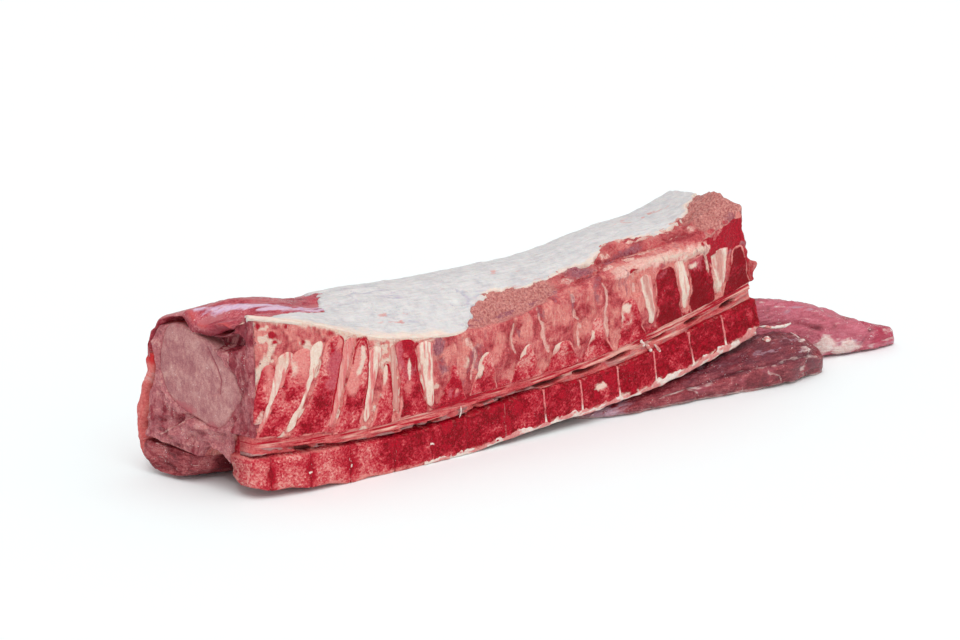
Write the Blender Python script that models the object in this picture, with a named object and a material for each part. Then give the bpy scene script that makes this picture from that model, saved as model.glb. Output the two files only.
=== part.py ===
# Raw bone-in pork loin, sawn down the middle of the backbone, with its tenderloin under one end.
#
# The loin is laid out straight first: s runs along it from the cut end, y runs back from the
# sawn face and z runs up, all in centimetres. place() then slants the cut end, bends the loin
# up over the tenderloin and changes to metres. The tenderloin lies on the table, so it is
# modelled where it lies.

import math

import bpy
import numpy as np

CM = 0.01
GAP = 0.03                # clearance between touching pieces, cm

# Whole loin
LOIN_LENGTH = 45.4        # along the sawn face
CUT_SLANT = 0.33          # how far the cut end leans forward for each cm of depth
SLANT_REACH = 10.0        # the slant has faded out this far along
LIFT_START = 13.5         # from here on the tenderloin holds the loin up
LIFT_SPAN = 31.0
LIFT_HEIGHT = 4.3         # lift reached at LIFT_START + LIFT_SPAN
LIFT_POWER = 2.05
SETBACK = 1.0             # the sawn face curves back by this at the cut end
SETBACK_REACH = 6.0

# Cross section
CREST_DEPTH = 5.2         # the highest line runs this far behind the sawn face
SHOULDER_DEPTH = 8.9
SHOULDER_HEIGHT = 8.2
SHOULDER_ROUNDING = 0.85  # exponent of the shoulder's superellipse
FLANK_DEPTH = 10.1        # deepest line of the flank
FLANK_HEIGHT = 3.1
CHINE_DEPTH = 1.8         # half a vertebral body, front to back
CANAL_DEPTH = 0.95
BLADE_DEPTH = 0.5         # half a spinous process, front to back
LIGAMENT_DEPTH = 0.4
LIGAMENT_GAP = 0.05       # sideways clearance to the spinous processes

# Layers over the core
FAT_THICKNESS = 0.35
CAP_THICKNESS = 1.1       # thin muscle on top, at the cut end
CAP_LENGTH = 9.0
SIDE_THICKNESS = 1.0
SIDE_TOP = 5.6            # borders between the layers, in outline steps (see outline())
SIDE_BOTTOM = 8.3
FLAP_INNER = 13.3
FOOT = 10                 # the step where the flap's flat foot starts
STEP_LENGTH = 1.6         # about one outline step, cm

# Eye muscle
EYE_CENTRE = (4.55, 7.35)
EYE_RADII = (3.4, 3.3, 3.6, 3.0, 3.4, 3.75, 3.6, 3.5, 3.8, 3.1, 2.8, 3.0)   # every 30 degrees
EYE_COLUMNS = 20

TENDERLOIN_ZERO = 1.5     # the tenderloin's own places along the table count from here, cm

DISC_HALF = 0.15          # half the thickness of a disc
# Left edge of each disc between two vertebral bodies
DISC_PLACES = (1.3, 4.2, 7.4, 11.1, 14.3, 17.4, 20.8, 24.5, 27.9, 31.5, 35.0, 38.5, 41.8)

FIRST_SPINE_FOOT = 5.5    # the cut end takes off the first process below this height
# One row for each spinous process: foot left, foot right, tip left, tip right, tip height.
# The first belongs to a vertebra beyond the cut end, so it has no body.
SPINES = (
    (0.02, 0.15, 0.5, 1.45, 9.9),
    (0.2, 2.1, 3.5, 4.25, 9.5),
    (2.75, 5.3, 5.5, 7.2, 10.1),
    (6.3, 8.3, 7.75, 8.95, 10.0),
    (8.75, 11.0, 10.25, 10.6, 8.1),
    (11.45, 14.0, 11.8, 12.85, 9.6),
    (14.85, 17.5, 16.3, 16.85, 6.8),
    (17.7, 20.3, 18.7, 19.8, 7.5),
    (21.4, 24.5, 22.6, 23.5, 7.1),
    (25.0, 28.0, 25.6, 27.1, 6.3),
    (28.4, 31.3, 29.4, 30.4, 7.2),
    (31.7, 34.6, 32.3, 33.6, 7.6),
    (35.5, 38.2, 35.95, 37.85, 8.8),
    (38.9, 41.6, 39.25, 41.3, 8.4),
    (42.3, 45.1, 43.7, 44.8, 6.8),
)

# One row for each pale ligament: the spinous process to its right, foot left, foot right,
# foot height, tip left, tip right, tip height.
LIGAMENTS = (
    (1, 0.35, 1.2, 6.9, 1.75, 2.3, 11.2),
    (2, 2.1, 3.4, 4.8, 4.4, 5.25, 10.3),
    (3, 5.5, 6.5, 4.8, 7.25, 7.65, 9.6),
    (4, 8.6, 8.95, 4.9, 9.4, 10.2, 9.2),
    (5, 11.1, 11.5, 5.2, 10.95, 11.7, 9.0),
    (6, 13.9, 14.75, 4.7, 13.1, 14.4, 8.9),
    (12, 34.8, 35.2, 5.2, 34.3, 35.5, 7.8),
    (13, 38.3, 38.9, 4.9, 38.0, 38.8, 8.1),
    (14, 41.85, 42.2, 5.2, 41.8, 43.4, 7.2),
)

MEAT = (0.47, 0.09, 0.10)
EYE_MEAT = (0.42, 0.17, 0.17)
DARK_MEAT = (0.28, 0.04, 0.06)
CORAL_MEAT = (0.55, 0.10, 0.08)
FAT = (0.78, 0.74, 0.70)
MARROW = (0.50, 0.05, 0.08)
DISC_RED = (0.25, 0.01, 0.03)
TENDON = (0.82, 0.70, 0.60)
TENDERLOIN_MEAT = (0.30, 0.06, 0.08)


def keyed(s, *pairs):
    # Smooth curve through (place, value) pairs, with the slope at each from its neighbours.
    places = np.array(pairs[0::2], float)
    values = np.array(pairs[1::2], float)
    slopes = np.gradient(values, places)
    s = np.asarray(s, float)
    i = np.clip(np.searchsorted(places, s) - 1, 0, len(places) - 2)
    width = places[i + 1] - places[i]
    t = np.clip((s - places[i]) / width, 0, 1)
    start = (2 * t**3 - 3 * t**2 + 1) * values[i] + (t**3 - 2 * t**2 + t) * width * slopes[i]
    end = (3 * t**2 - 2 * t**3) * values[i + 1] + (t**3 - t**2) * width * slopes[i + 1]
    return start + end


def lift(s):
    return LIFT_HEIGHT * np.clip((s - LIFT_START) / LIFT_SPAN, 0, 2) ** LIFT_POWER


def lift_angle(s):
    along = np.clip((s - LIFT_START) / LIFT_SPAN, 0, 2)
    return np.arctan(LIFT_HEIGHT * LIFT_POWER / LIFT_SPAN * along ** (LIFT_POWER - 1))


def place(points):
    # Straight layout in cm to the loin as it lies, in metres.
    s, y, z = np.moveaxis(np.asarray(points, float), -1, 0)
    slant = CUT_SLANT * y * np.clip(1 - s / SLANT_REACH, 0, 1) ** 2
    back = SETBACK * np.clip(1 - s / SETBACK_REACH, 0, 1) ** 2
    angle = lift_angle(s)
    x = s - slant - z * np.sin(angle)
    return CM * np.stack([x, y + back, lift(s) + z * np.cos(angle)], -1)


def floor_height(s):
    # Height in the straight layout of a spot that ends up on the table.
    return -lift(s) / np.cos(lift_angle(s))


def edge_height(s):
    return keyed(s, 0, 13.3, 3, 12.6, 6, 11.6, 9, 10.4, 13, 9.6, 17, 9.1, 22, 9.15,
                 27, 9.7, 36, 9.8, 43, 9.7, LOIN_LENGTH, 9.4)


def crest_height(s):
    return keyed(s, 0, 12.5, 2.5, 13.1, 4.5, 12.8, 6.5, 12.3, 9, 12.35, 15, 12.35, 20, 12.2, 24, 12.0,
                 28, 11.65, 37, 11.55, 41, 11.15, LOIN_LENGTH, 10.4)


def canal_roof(s):
    return keyed(s, 0, 4.5, 4, 4.2, 9, 3.7, 13, 3.9, 18, 4.25, 24, 4.3, 31, 3.95, 38, 4.2,
                 LOIN_LENGTH, 4.0)


def canal_floor(s):
    return keyed(s, 0, 3.0, 6, 2.85, 11, 2.6, 16, 2.7, 20, 3.0, 24, 3.1, 28, 2.8,
                 36, 2.65, 40, 2.8, LOIN_LENGTH, 2.5)


def chine_bottom(s):
    # Rests on the table from 7 to 14 cm along.
    height = keyed(s, 0, 0.75, 2, 0.5, 4, 0.35, 7, 0.0, 14, 0.0, 18, 0.1, 22, 0.3, 27, 0.2,
                   34, -0.1, LOIN_LENGTH, 0.0)
    return np.maximum(height, floor_height(s))


def outline(s):
    # Control points of the section at s, in steps that the layers' borders are given in:
    # 0 top edge of the sawn face, 3 crest, 6 shoulder, 8 flank, 10-11 flat foot of the flap,
    # 13 inside of the flap, 14-15 roof of the hollow, 16 back of the chine.
    s = np.asarray(s, float)
    edge = edge_height(s)
    crest = crest_height(s)
    rise = crest - edge
    dip = keyed(s, 0, 0.55, 4, 0.1, 8, 0, 36, 0, LOIN_LENGTH, -0.9)
    raised = keyed(s, 0, 0.3, 4, 0.0, 8, 0.0, 26, 0.0, 30, 0.0, 38, 0.4, LOIN_LENGTH, 1.2)
    floor = floor_height(s) + np.maximum(raised, 0)
    flank = FLANK_DEPTH + keyed(s, 0, 0.0, 18, 0.3, 34, 0.1, LOIN_LENGTH, -0.5)
    flap = keyed(s, 0, 5.2, 14, 5.2, 24, 3.9, LOIN_LENGTH, 3.3)
    drop = SHOULDER_HEIGHT - crest
    reach = SHOULDER_DEPTH - CREST_DEPTH
    ones = np.ones_like(s)

    def shoulder(degrees):
        angle = math.radians(degrees)
        depth = CREST_DEPTH + reach * math.sin(angle) ** SHOULDER_ROUNDING
        height = SHOULDER_HEIGHT - drop * math.cos(angle) ** SHOULDER_ROUNDING
        return depth * ones, height

    points = [
        (0 * ones, edge),
        (0.28 * CREST_DEPTH * ones, edge + 0.46 * rise - dip),
        (0.62 * CREST_DEPTH * ones, edge + 0.87 * rise - 0.6 * dip),
        (CREST_DEPTH * ones, crest),
        shoulder(38),
        shoulder(64),
        (SHOULDER_DEPTH * ones, SHOULDER_HEIGHT * ones),
        (0.45 * SHOULDER_DEPTH + 0.55 * flank + 0.15, 5.7 * ones),
        (flank, FLANK_HEIGHT + 0.5 * floor),
        (flank - 0.45, floor + 1.1),
        (flank - 1.7, floor),
        (flank - 0.62 * flap, floor),
        (flank - 0.87 * flap, floor + 0.5),
        (flank - flap, floor * 0.6 + 1.6),
        (0.5 * (flank - flap) + 1.5, 3.1 * ones),
        (2.7 * ones, 2.9 * ones),
        (CHINE_DEPTH + 0.08 + 0 * s, 2.3 * ones),
    ]
    return np.stack([np.stack(point, -1) for point in points], -2)


def skin(s, step, inward=0.0):
    # Point (y, z) of the outline at s and a step along it, moved inward along the normal.
    control = outline(s)
    step = np.broadcast_to(np.asarray(step, float), np.shape(s))
    rows = np.arange(len(control))
    count = control.shape[1]

    def at(u):
        u = np.clip(u, 0, count - 1)
        i = np.clip(u.astype(int), 0, count - 2)
        t = (u - i)[:, None]
        before = control[rows, np.maximum(i - 1, 0)]
        first = control[rows, i]
        second = control[rows, i + 1]
        after = control[rows, np.minimum(i + 2, count - 1)]
        cubic = 3 * (first - second) + after - before
        square = 2 * before - 5 * first + 4 * second - after
        return first + 0.5 * t * (second - before + t * (square + t * cubic))

    along = at(step + 0.04) - at(step - 0.04)
    along /= np.linalg.norm(along, axis=1, keepdims=True)
    normal = np.stack([-along[:, 1], along[:, 0]], -1)
    point = at(step) - normal * np.broadcast_to(inward, np.shape(s))[:, None]
    point[:, 1] = np.maximum(point[:, 1], control[:, FOOT, 1])
    return point


def fat_edge(s):
    # Medial border of the fat, in outline steps: near the sawn edge, then further back.
    return keyed(s, 0, 0.45, 6, 0.35, 12, 0.25, 18, 0.3, 20, 1.0, 26, 1.1, 29, 1.4,
                 38, 1.35, 42, 1.55, LOIN_LENGTH, 2.3)


def cap_edge(s):
    # Border between the fat rim and the thin top muscle at the cut end, in outline steps.
    return keyed(s, 0, 0.7, 4, 0.9, 9, 2.6, 20, 3.0, LOIN_LENGTH, 3.9)


def layer_thickness(s, step):
    # Fat everywhere on top, deepening to the cap muscle near the cut end and to the side muscle.
    near_cut = np.clip(1 - s / CAP_LENGTH, 0, 1)
    bulge = np.clip((step - 0.8) / 0.8, 0, 1) * np.clip((5.6 - step) / 1.6, 0.25, 1)
    top = FAT_THICKNESS + (CAP_THICKNESS - FAT_THICKNESS) * near_cut * bulge
    to_side = np.clip((step - SIDE_TOP + 0.3) / 1.0, 0, 1)
    return top + (SIDE_THICKNESS - top) * to_side


STATIONS = np.concatenate([np.arange(0, CAP_LENGTH, 1.5), np.arange(CAP_LENGTH, 44, 2), [LOIN_LENGTH]])
BARE, RIM, TOP, SIDE = 3, 4, 4, 5      # columns of the bare strip, fat rim, top and side


def cover_steps(s):
    # Outline steps of the columns that the core and its layers share.
    first = fat_edge(s)
    second = cap_edge(s)
    return np.concatenate([
        np.linspace(0, first, BARE, endpoint=False),
        np.linspace(first, second, RIM, endpoint=False),
        np.linspace(second, SIDE_TOP, TOP, endpoint=False),
        np.linspace(SIDE_TOP, SIDE_BOTTOM, SIDE),
    ])


def make_collection(name):
    collection = bpy.data.collections.new(name)
    bpy.context.scene.collection.children.link(collection)
    return collection


def make_material(name, colour, roughness):
    material = bpy.data.materials.new(name)
    material.use_nodes = True
    shader = material.node_tree.nodes["Principled BSDF"]
    shader.inputs["Base Color"].default_value = (*colour, 1)
    shader.inputs["Roughness"].default_value = roughness
    shader.inputs["Metallic"].default_value = 0
    return material


def add_object(name, mesh, collection, root, colour, roughness=0.4):
    part = bpy.data.objects.new(name, mesh)
    mesh.materials.append(make_material(name, colour, roughness))
    part.parent = root
    collection.objects.link(part)
    return part


def add_cutter(name, mesh, collection, root):
    cutter = bpy.data.objects.new(name, mesh)
    cutter.parent = root
    cutter.hide_render = True
    cutter.display_type = "WIRE"
    collection.objects.link(cutter)
    return cutter


def cut_all(part, cutters, name):
    difference = part.modifiers.new(name, "BOOLEAN")
    difference.operation = "DIFFERENCE"
    difference.solver = "EXACT"
    difference.operand_type = "COLLECTION"
    difference.collection = cutters


def mesh_from(name, vertices, faces):
    mesh = bpy.data.meshes.new(name)
    mesh.from_pydata(vertices.tolist(), [], faces)
    mesh.validate()
    mesh.shade_smooth()
    mesh.set_sharp_from_angle(angle=math.radians(40))
    return mesh


def loft(name, rings):
    # Closed solid through rings of equal count, each ring running the same way round.
    rows, columns = rings.shape[:2]
    index = np.arange(rows * columns).reshape(rows, columns)
    first = index[:-1]
    second = index[1:]
    first_next = np.roll(first, -1, axis=1)
    second_next = np.roll(second, -1, axis=1)
    lower = np.stack([first, second, second_next], -1).reshape(-1, 3)
    upper = np.stack([first, second_next, first_next], -1).reshape(-1, 3)
    faces = lower.tolist() + upper.tolist() + [index[0].tolist(), index[-1][::-1].tolist()]
    return mesh_from(name, rings.reshape(-1, 3), faces)


def shell(name, outer, inner, keep):
    # Closed solid between two grids of points, over the grid cells that keep is true for.
    rows, columns = keep.shape
    count = outer.shape[0] * outer.shape[1]
    index = np.arange(count).reshape(outer.shape[:2])
    faces = []
    borders = {}
    for i in range(rows):
        for j in range(columns):
            if not keep[i, j]:
                continue
            a, b, c, d = index[i, j], index[i + 1, j], index[i + 1, j + 1], index[i, j + 1]
            faces += [(a, b, c), (a, c, d)]
            faces += [(c + count, b + count, a + count), (d + count, c + count, a + count)]
            for edge in ((a, b), (b, c), (c, d), (d, a)):
                if edge[::-1] in borders:
                    del borders[edge[::-1]]
                else:
                    borders[edge] = True
    for first, second in borders:
        faces += [(second, first, first + count), (second, first + count, second + count)]
    used = sorted({corner for face in faces for corner in face})
    renumber = {old: new for new, old in enumerate(used)}
    vertices = np.concatenate([outer.reshape(-1, 3), inner.reshape(-1, 3)])[used]
    return mesh_from(name, vertices, [[renumber[corner] for corner in face] for face in faces])


def cover_grid(s, steps, inward):
    # Grid of placed points; s and inward may vary from place to place.
    flat_s = np.broadcast_to(s, steps.shape).ravel()
    points = skin(flat_s, steps.ravel(), np.broadcast_to(inward, steps.shape).ravel())
    return np.column_stack([flat_s, points]).reshape(*steps.shape, 3)


def layer(s, columns, clearance):
    # Outer and inner grid of a layer over the given columns, kept clear of the one before it.
    steps = np.array([cover_steps(place_s)[columns] for place_s in s])
    steps[:, 0] += clearance / STEP_LENGTH
    along = s[:, None]
    outer = cover_grid(along, steps, 0.0)
    inner = cover_grid(along, steps, layer_thickness(along, steps))
    return place(outer), place(inner)


def core_rings(s):
    steps = np.array([cover_steps(place_s) for place_s in s])
    along = s[:, None]
    covered = np.arange(steps.shape[1]) >= BARE
    inward = np.where(covered, layer_thickness(along, steps) + GAP, 0.0)
    top = cover_grid(along, steps, inward)
    under_steps = np.broadcast_to(np.linspace(FLAP_INNER + GAP / STEP_LENGTH, 16, 5), (len(s), 5))
    under = cover_grid(along, under_steps, 0.0)
    back = CHINE_DEPTH + 0.08
    roof = canal_roof(s) + 0.05
    edge = edge_height(s)
    face = [np.column_stack([s, back + 0 * s, roof])]
    for share in (0.0, 0.3, 0.6):
        face.append(np.column_stack([s, 0 * s, roof + share * (edge - roof)]))
    return np.concatenate([top, under, np.stack(face, 1)], axis=1)


def eye_rings(s, grow):
    turns = np.arange(EYE_COLUMNS) / EYE_COLUMNS
    radii = np.array(EYE_RADII)
    places = np.arange(-2, len(radii) + 3)
    around = keyed(turns * len(radii), *np.column_stack([places, radii[places % len(radii)]]).ravel())
    size = keyed(s, 0, 1.0, 12, 0.97, 30, 0.95, LOIN_LENGTH, 0.86)[:, None]
    depth = EYE_CENTRE[0] + (around * size + grow) * np.cos(2 * math.pi * turns)
    sink = keyed(s, 0, 0, 20, 0.15, LOIN_LENGTH, 0.65)[:, None]
    height = EYE_CENTRE[1] - sink + (around * size + grow) * np.sin(2 * math.pi * turns)
    along = np.broadcast_to(s[:, None], depth.shape)
    return np.stack([along, depth, height], -1)[:, ::-1]


def flap_rings(s):
    outside = np.linspace(SIDE_BOTTOM + 2 * GAP / STEP_LENGTH, FOOT, 4)[:-1]
    steps = np.concatenate([outside, np.linspace(FOOT, FLAP_INNER, 7)])
    return cover_grid(s[:, None], np.broadcast_to(steps, (len(s), len(steps))), 0.0)


def rung(left, right, front, back, left_height, right_height):
    # Four corners of a level section of a bone.
    return [(left, front, left_height), (left, back, left_height),
            (right, back, right_height), (right, front, right_height)]


def spine_edges(spine, height):
    # Left and right edge of a spinous process at a height, with a flared foot and round tip.
    foot_left, foot_right, tip_left, tip_right, tip = SPINES[spine]
    foot = float(canal_roof(0.5 * (foot_left + foot_right)))
    t = min(max((height - foot) / (tip - foot), 0), 1)
    rounded = math.sqrt(max(1 - max((t - 0.88) / 0.12, 0) ** 2, 0.12))
    middle = 0.5 * (foot_left + foot_right) * (1 - t) + 0.5 * (tip_left + tip_right) * t
    lean = 0.35 * t * (1 - t) * (tip_left + tip_right - foot_left - foot_right)
    narrowing = (1 - t) ** 1.3
    half = 0.5 * ((foot_right - foot_left) * narrowing + (tip_right - tip_left) * (1 - narrowing))
    return middle + lean - half * rounded, middle + lean + half * rounded


def blade_rungs(spine, first_height, front, grow):
    tip = SPINES[spine][4]
    rungs = []
    for share in (0.0, 0.18, 0.4, 0.65, 0.88, 0.96, 1.0):
        height = first_height + share * (tip - first_height)
        left, right = spine_edges(spine, height)
        depth = BLADE_DEPTH + 0.5 * max(0.3 - share, 0)
        level = height + (grow if share == 1.0 else 0)
        rungs.append(rung(left - grow, right + grow, front, depth + grow, level, level))
    return rungs


def vertebra_rings(number, grow, front):
    # Half a vertebra as a C around the canal: body, pedicle behind the canal, spinous process.
    starts = (0.0,) + tuple(place_s + DISC_HALF + GAP for place_s in DISC_PLACES)
    ends = tuple(place_s - DISC_HALF - GAP for place_s in DISC_PLACES) + (LOIN_LENGTH - 0.3,)
    left = starts[number - 1] - grow
    right = ends[number - 1] + grow
    foot_left, foot_right = SPINES[number][:2]
    middle = 0.5 * (left + right)
    neck = 0.28 * (right - left)

    def body(share, narrow, depth):
        ends_s = np.array([left + narrow, right - narrow])
        low = chine_bottom(ends_s)
        high = low + share * (canal_floor(ends_s) - low)
        return rung(*ends_s, front, depth + grow, *high)

    roof = float(canal_roof(0.5 * (foot_left + foot_right)))
    floor = float(canal_floor(middle))
    narrow = 0.12 * (right - left)
    reach = CHINE_DEPTH + grow
    hollow = CANAL_DEPTH - grow
    rungs = [
        body(0.0, narrow, 0.62 * CHINE_DEPTH),
        body(0.16, 0.25 * narrow, 0.9 * CHINE_DEPTH),
        body(0.55, 0.35 * narrow, CHINE_DEPTH - 0.05),
        body(1.0, 0.0, CHINE_DEPTH),
        rung(middle - neck, middle + neck, hollow, reach, floor + 0.2, floor + 0.2),
        rung(foot_left + 0.2, foot_right - 0.2, hollow, reach, roof - 0.1, roof - 0.1),
    ]
    return np.array(rungs + blade_rungs(number, roof, front, grow))


def disc_rings(number):
    left = DISC_PLACES[number] - DISC_HALF
    right = DISC_PLACES[number] + DISC_HALF
    low = float(chine_bottom(left)) + 0.1
    high = float(canal_floor(left)) - 0.06
    sections = ((0.0, 0.6), (0.16, 0.88), (0.55, 0.93), (1.0, 0.95))
    rungs = []
    for share, depth in sections:
        level = low + share * (high - low)
        rungs.append(rung(left, right, 0, depth * CHINE_DEPTH, level, level))
    return np.array(rungs)


def ligament_rings(row, grow, front):
    spine, foot_left, foot_right, foot, tip_left, tip_right, tip = row
    rungs = []
    for share in (0.0, 0.25, 0.5, 0.75, 1.0):
        height = foot + share * (tip - foot)
        left = foot_left + share * (tip_left - foot_left)
        right = foot_right + share * (tip_right - foot_right)
        clear_left = left
        clear_right = right
        if height < SPINES[spine - 1][4] + GAP:
            clear_left = max(left, spine_edges(spine - 1, height)[1] + LIGAMENT_GAP)
        if height < SPINES[spine][4] + GAP:
            clear_right = min(right, spine_edges(spine, height)[0] - LIGAMENT_GAP)
        clear_right = max(clear_right, clear_left + 0.12)
        back = LIGAMENT_DEPTH + grow
        rungs.append(rung(clear_left - grow, clear_right + grow, front, back, height, height))
    rungs[0] = [(x, y, z - grow) for x, y, z in rungs[0]]
    rungs[-1] = [(x, y, z + grow) for x, y, z in rungs[-1]]
    return np.array(rungs)


def muscle_rings(stations, front, back, height):
    # Rings of a muscle that has sunk onto the table: flat foot, low sides, rounded top.
    turns = np.radians(np.linspace(-150, 210, 15)[:-1])
    side = np.sign(np.cos(turns)) * np.abs(np.cos(turns)) ** 0.8
    rise = np.abs(np.sin(turns))
    up = np.where(turns < 0, -rise ** 0.4, np.sign(np.sin(turns)) * rise ** 0.75)
    middle = 0.5 * (front + back)[:, None]
    depth = middle + 0.5 * (back - front)[:, None] * side
    level = np.maximum(height[:, None] * (0.42 + np.where(up < 0, 0.42, 0.58) * up), 0.0)
    along = np.broadcast_to(stations[:, None] + TENDERLOIN_ZERO, depth.shape)
    return CM * np.stack([along, depth, level], -1)[:, ::-1]


def tenderloin_rings():
    stations = np.array([26.5, 27.5, 30, 33, 36, 39.5, 42.5, 45, 47.2, 48.7, 49.5])
    front = keyed(stations, 26.5, 2.2, 28, 0.7, 33, -0.2, 39, -0.9, 43, -1.7, 45.5, -1.9,
                  47.5, -1.5, 48.7, -0.8, 49.5, 0.0)
    back = keyed(stations, 26.5, 3.2, 29, 3.8, 36, 3.5, 44, 2.6, 47, 2.3, 48.7, 2.1, 49.5, 1.5)
    height = keyed(stations, 26.5, 0.5, 29, 0.95, 33, 1.35, 37, 1.95, 41, 2.7, 45, 3.5,
                   47.2, 3.1, 48.7, 2.1, 49.5, 1.0)
    return muscle_rings(stations, front, back, height)


def lobe_rings():
    stations = np.array([24.5, 26, 29, 33, 37, 41, 45, 48.5, 50, 51.5, 54, 56, 57.6, 58.7, 59.3])
    front = keyed(stations, 24.5, 4.6, 29, 4.1, 36, 3.8, 44, 2.9, 48.5, 2.55, 50, 2.3, 51.5, 1.4,
                  54, 0.8, 57.5, 0.5, 59.3, 0.8)
    back = keyed(stations, 24.5, 5.1, 30, 5.6, 40, 5.7, 50, 5.4, 55, 4.3, 57.5, 2.7, 59.3, 1.8)
    height = keyed(stations, 24.5, 0.8, 30, 2.4, 36, 3.6, 42, 4.6, 46, 5.2, 50, 4.7,
                   54, 3.2, 56, 2.3, 57.6, 1.75, 58.7, 1.5, 59.3, 1.0)
    return muscle_rings(stations, front, back, height)


def stand_on_origin(parts, root):
    # Puts the middle of the bounding box's base at the origin.
    corners = []
    for part in parts.objects:
        if part.type == "MESH":
            points = np.empty(3 * len(part.data.vertices))
            part.data.vertices.foreach_get("co", points)
            points = points.reshape(-1, 3)
            corners += [points.min(0), points.max(0)]
    low = np.min(corners, axis=0)
    high = np.max(corners, axis=0)
    root.location = (-0.5 * (low[0] + high[0]), -0.5 * (low[1] + high[1]), -low[2])


def build():
    for leftover in list(bpy.data.objects):
        bpy.data.objects.remove(leftover, do_unlink=True)
    parts = make_collection("pork_loin_roast")
    cutters = make_collection("pork_loin_cutters")
    root = bpy.data.objects.new("pork_loin_origin", None)
    parts.objects.link(root)

    core = add_object("loin_meat", loft("loin_meat", place(core_rings(STATIONS))), parts, root, MEAT)
    eye_stations = STATIONS[::2].copy()
    eye_stations[-1] = LOIN_LENGTH
    eye = loft("loin_eye", place(eye_rings(eye_stations, 0.0)))
    add_object("loin_eye", eye, parts, root, EYE_MEAT)
    beyond = eye_rings(eye_stations, GAP)
    beyond[0, :, 0] -= GAP
    beyond[-1, :, 0] += GAP
    ends = np.array([beyond[0] - (0.5, 0, 0), beyond[-1] + (0.5, 0, 0)])
    tunnel = loft("eye_tunnel", place(np.concatenate([ends[:1], beyond, ends[1:]])))
    add_cutter("eye_tunnel", tunnel, cutters, root)

    for number in range(1, len(SPINES)):
        name = f"vertebra_{number:02d}"
        add_object(name, loft(name, place(vertebra_rings(number, 0.0, 0.0))), parts, root, MARROW)
        pocket = loft(f"pocket_{number:02d}", place(vertebra_rings(number, GAP, -0.4)))
        add_cutter(f"pocket_{number:02d}", pocket, cutters, root)

    tip = loft("spine_00", place(np.array(blade_rungs(0, FIRST_SPINE_FOOT, 0.0, 0.0))))
    add_object("spine_00", tip, parts, root, MARROW)
    pocket = loft("pocket_00", place(np.array(blade_rungs(0, FIRST_SPINE_FOOT - GAP, -0.4, GAP))))
    add_cutter("pocket_00", pocket, cutters, root)

    for number in range(len(DISC_PLACES)):
        name = f"disc_{number + 1:02d}"
        add_object(name, loft(name, place(disc_rings(number))), parts, root, DISC_RED)

    for number, row in enumerate(LIGAMENTS, 1):
        name = f"ligament_{number:02d}"
        add_object(name, loft(name, place(ligament_rings(row, 0.0, 0.0))), parts, root, TENDON)
        slot = loft(f"slot_{number:02d}", place(ligament_rings(row, GAP, -0.4)))
        add_cutter(f"slot_{number:02d}", slot, cutters, root)
    cut_all(core, cutters, "eye tunnel and bone pockets")

    rim_end = BARE + RIM
    top_end = rim_end + TOP
    near_cut = STATIONS[STATIONS <= CAP_LENGTH].copy()
    near_cut[-1] -= GAP
    outer, inner = layer(STATIONS, slice(BARE, top_end + 1), 0.0)
    keep = np.ones((len(STATIONS) - 1, RIM + TOP), bool)
    keep[STATIONS[:-1] < CAP_LENGTH, RIM:] = False
    add_object("fat_cover", shell("fat_cover", outer, inner, keep), parts, root, FAT)
    outer, inner = layer(near_cut, slice(rim_end, top_end + 1), 2 * GAP)
    keep = np.ones((len(near_cut) - 1, TOP), bool)
    add_object("cap_muscle", shell("cap_muscle", outer, inner, keep), parts, root, DARK_MEAT)
    outer, inner = layer(STATIONS, slice(top_end, None), 2 * GAP)
    keep = np.ones((len(STATIONS) - 1, SIDE - 1), bool)
    add_object("side_muscle", shell("side_muscle", outer, inner, keep), parts, root, CORAL_MEAT)
    add_object("rib_flap", loft("rib_flap", place(flap_rings(STATIONS))), parts, root, MEAT)
    add_object("tenderloin", loft("tenderloin", tenderloin_rings()), parts, root, TENDERLOIN_MEAT)
    add_object("tenderloin_lobe", loft("tenderloin_lobe", lobe_rings()), parts, root, TENDERLOIN_MEAT)
    stand_on_origin(parts, root)


build()
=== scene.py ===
import math
from functools import reduce

import bpy
import numpy as np
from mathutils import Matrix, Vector


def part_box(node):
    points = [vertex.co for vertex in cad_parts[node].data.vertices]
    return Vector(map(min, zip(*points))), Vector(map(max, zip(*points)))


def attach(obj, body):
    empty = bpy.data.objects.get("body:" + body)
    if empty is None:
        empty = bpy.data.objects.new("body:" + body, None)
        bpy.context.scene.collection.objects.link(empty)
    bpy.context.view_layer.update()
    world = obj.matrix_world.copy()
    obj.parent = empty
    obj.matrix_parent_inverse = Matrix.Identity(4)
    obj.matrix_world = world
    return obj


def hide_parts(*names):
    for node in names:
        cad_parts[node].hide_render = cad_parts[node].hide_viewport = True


# Raw bone-in pork loin. Everything on the loin is first laid out straight, in centimetres:
# s runs along it from the cut end, y runs back from the sawn face, z runs up.
# toScene() slants the cut end, lifts the far end over the tenderloin and changes to metres.

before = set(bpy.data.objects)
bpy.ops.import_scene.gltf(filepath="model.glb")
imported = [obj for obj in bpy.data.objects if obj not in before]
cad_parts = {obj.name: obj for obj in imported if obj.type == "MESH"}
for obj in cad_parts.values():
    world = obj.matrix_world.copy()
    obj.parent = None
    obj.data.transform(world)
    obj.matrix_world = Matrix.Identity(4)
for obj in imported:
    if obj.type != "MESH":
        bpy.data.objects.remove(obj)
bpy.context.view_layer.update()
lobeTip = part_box("tenderloin_lobe")[1]
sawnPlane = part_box("vertebra_08")[0]
lobeReach = 0.608      # from the layout's zero to the tenderloin's tip, metres
layoutZero = np.array([lobeTip.x - lobeReach, sawnPlane.y, 0.0])

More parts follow.
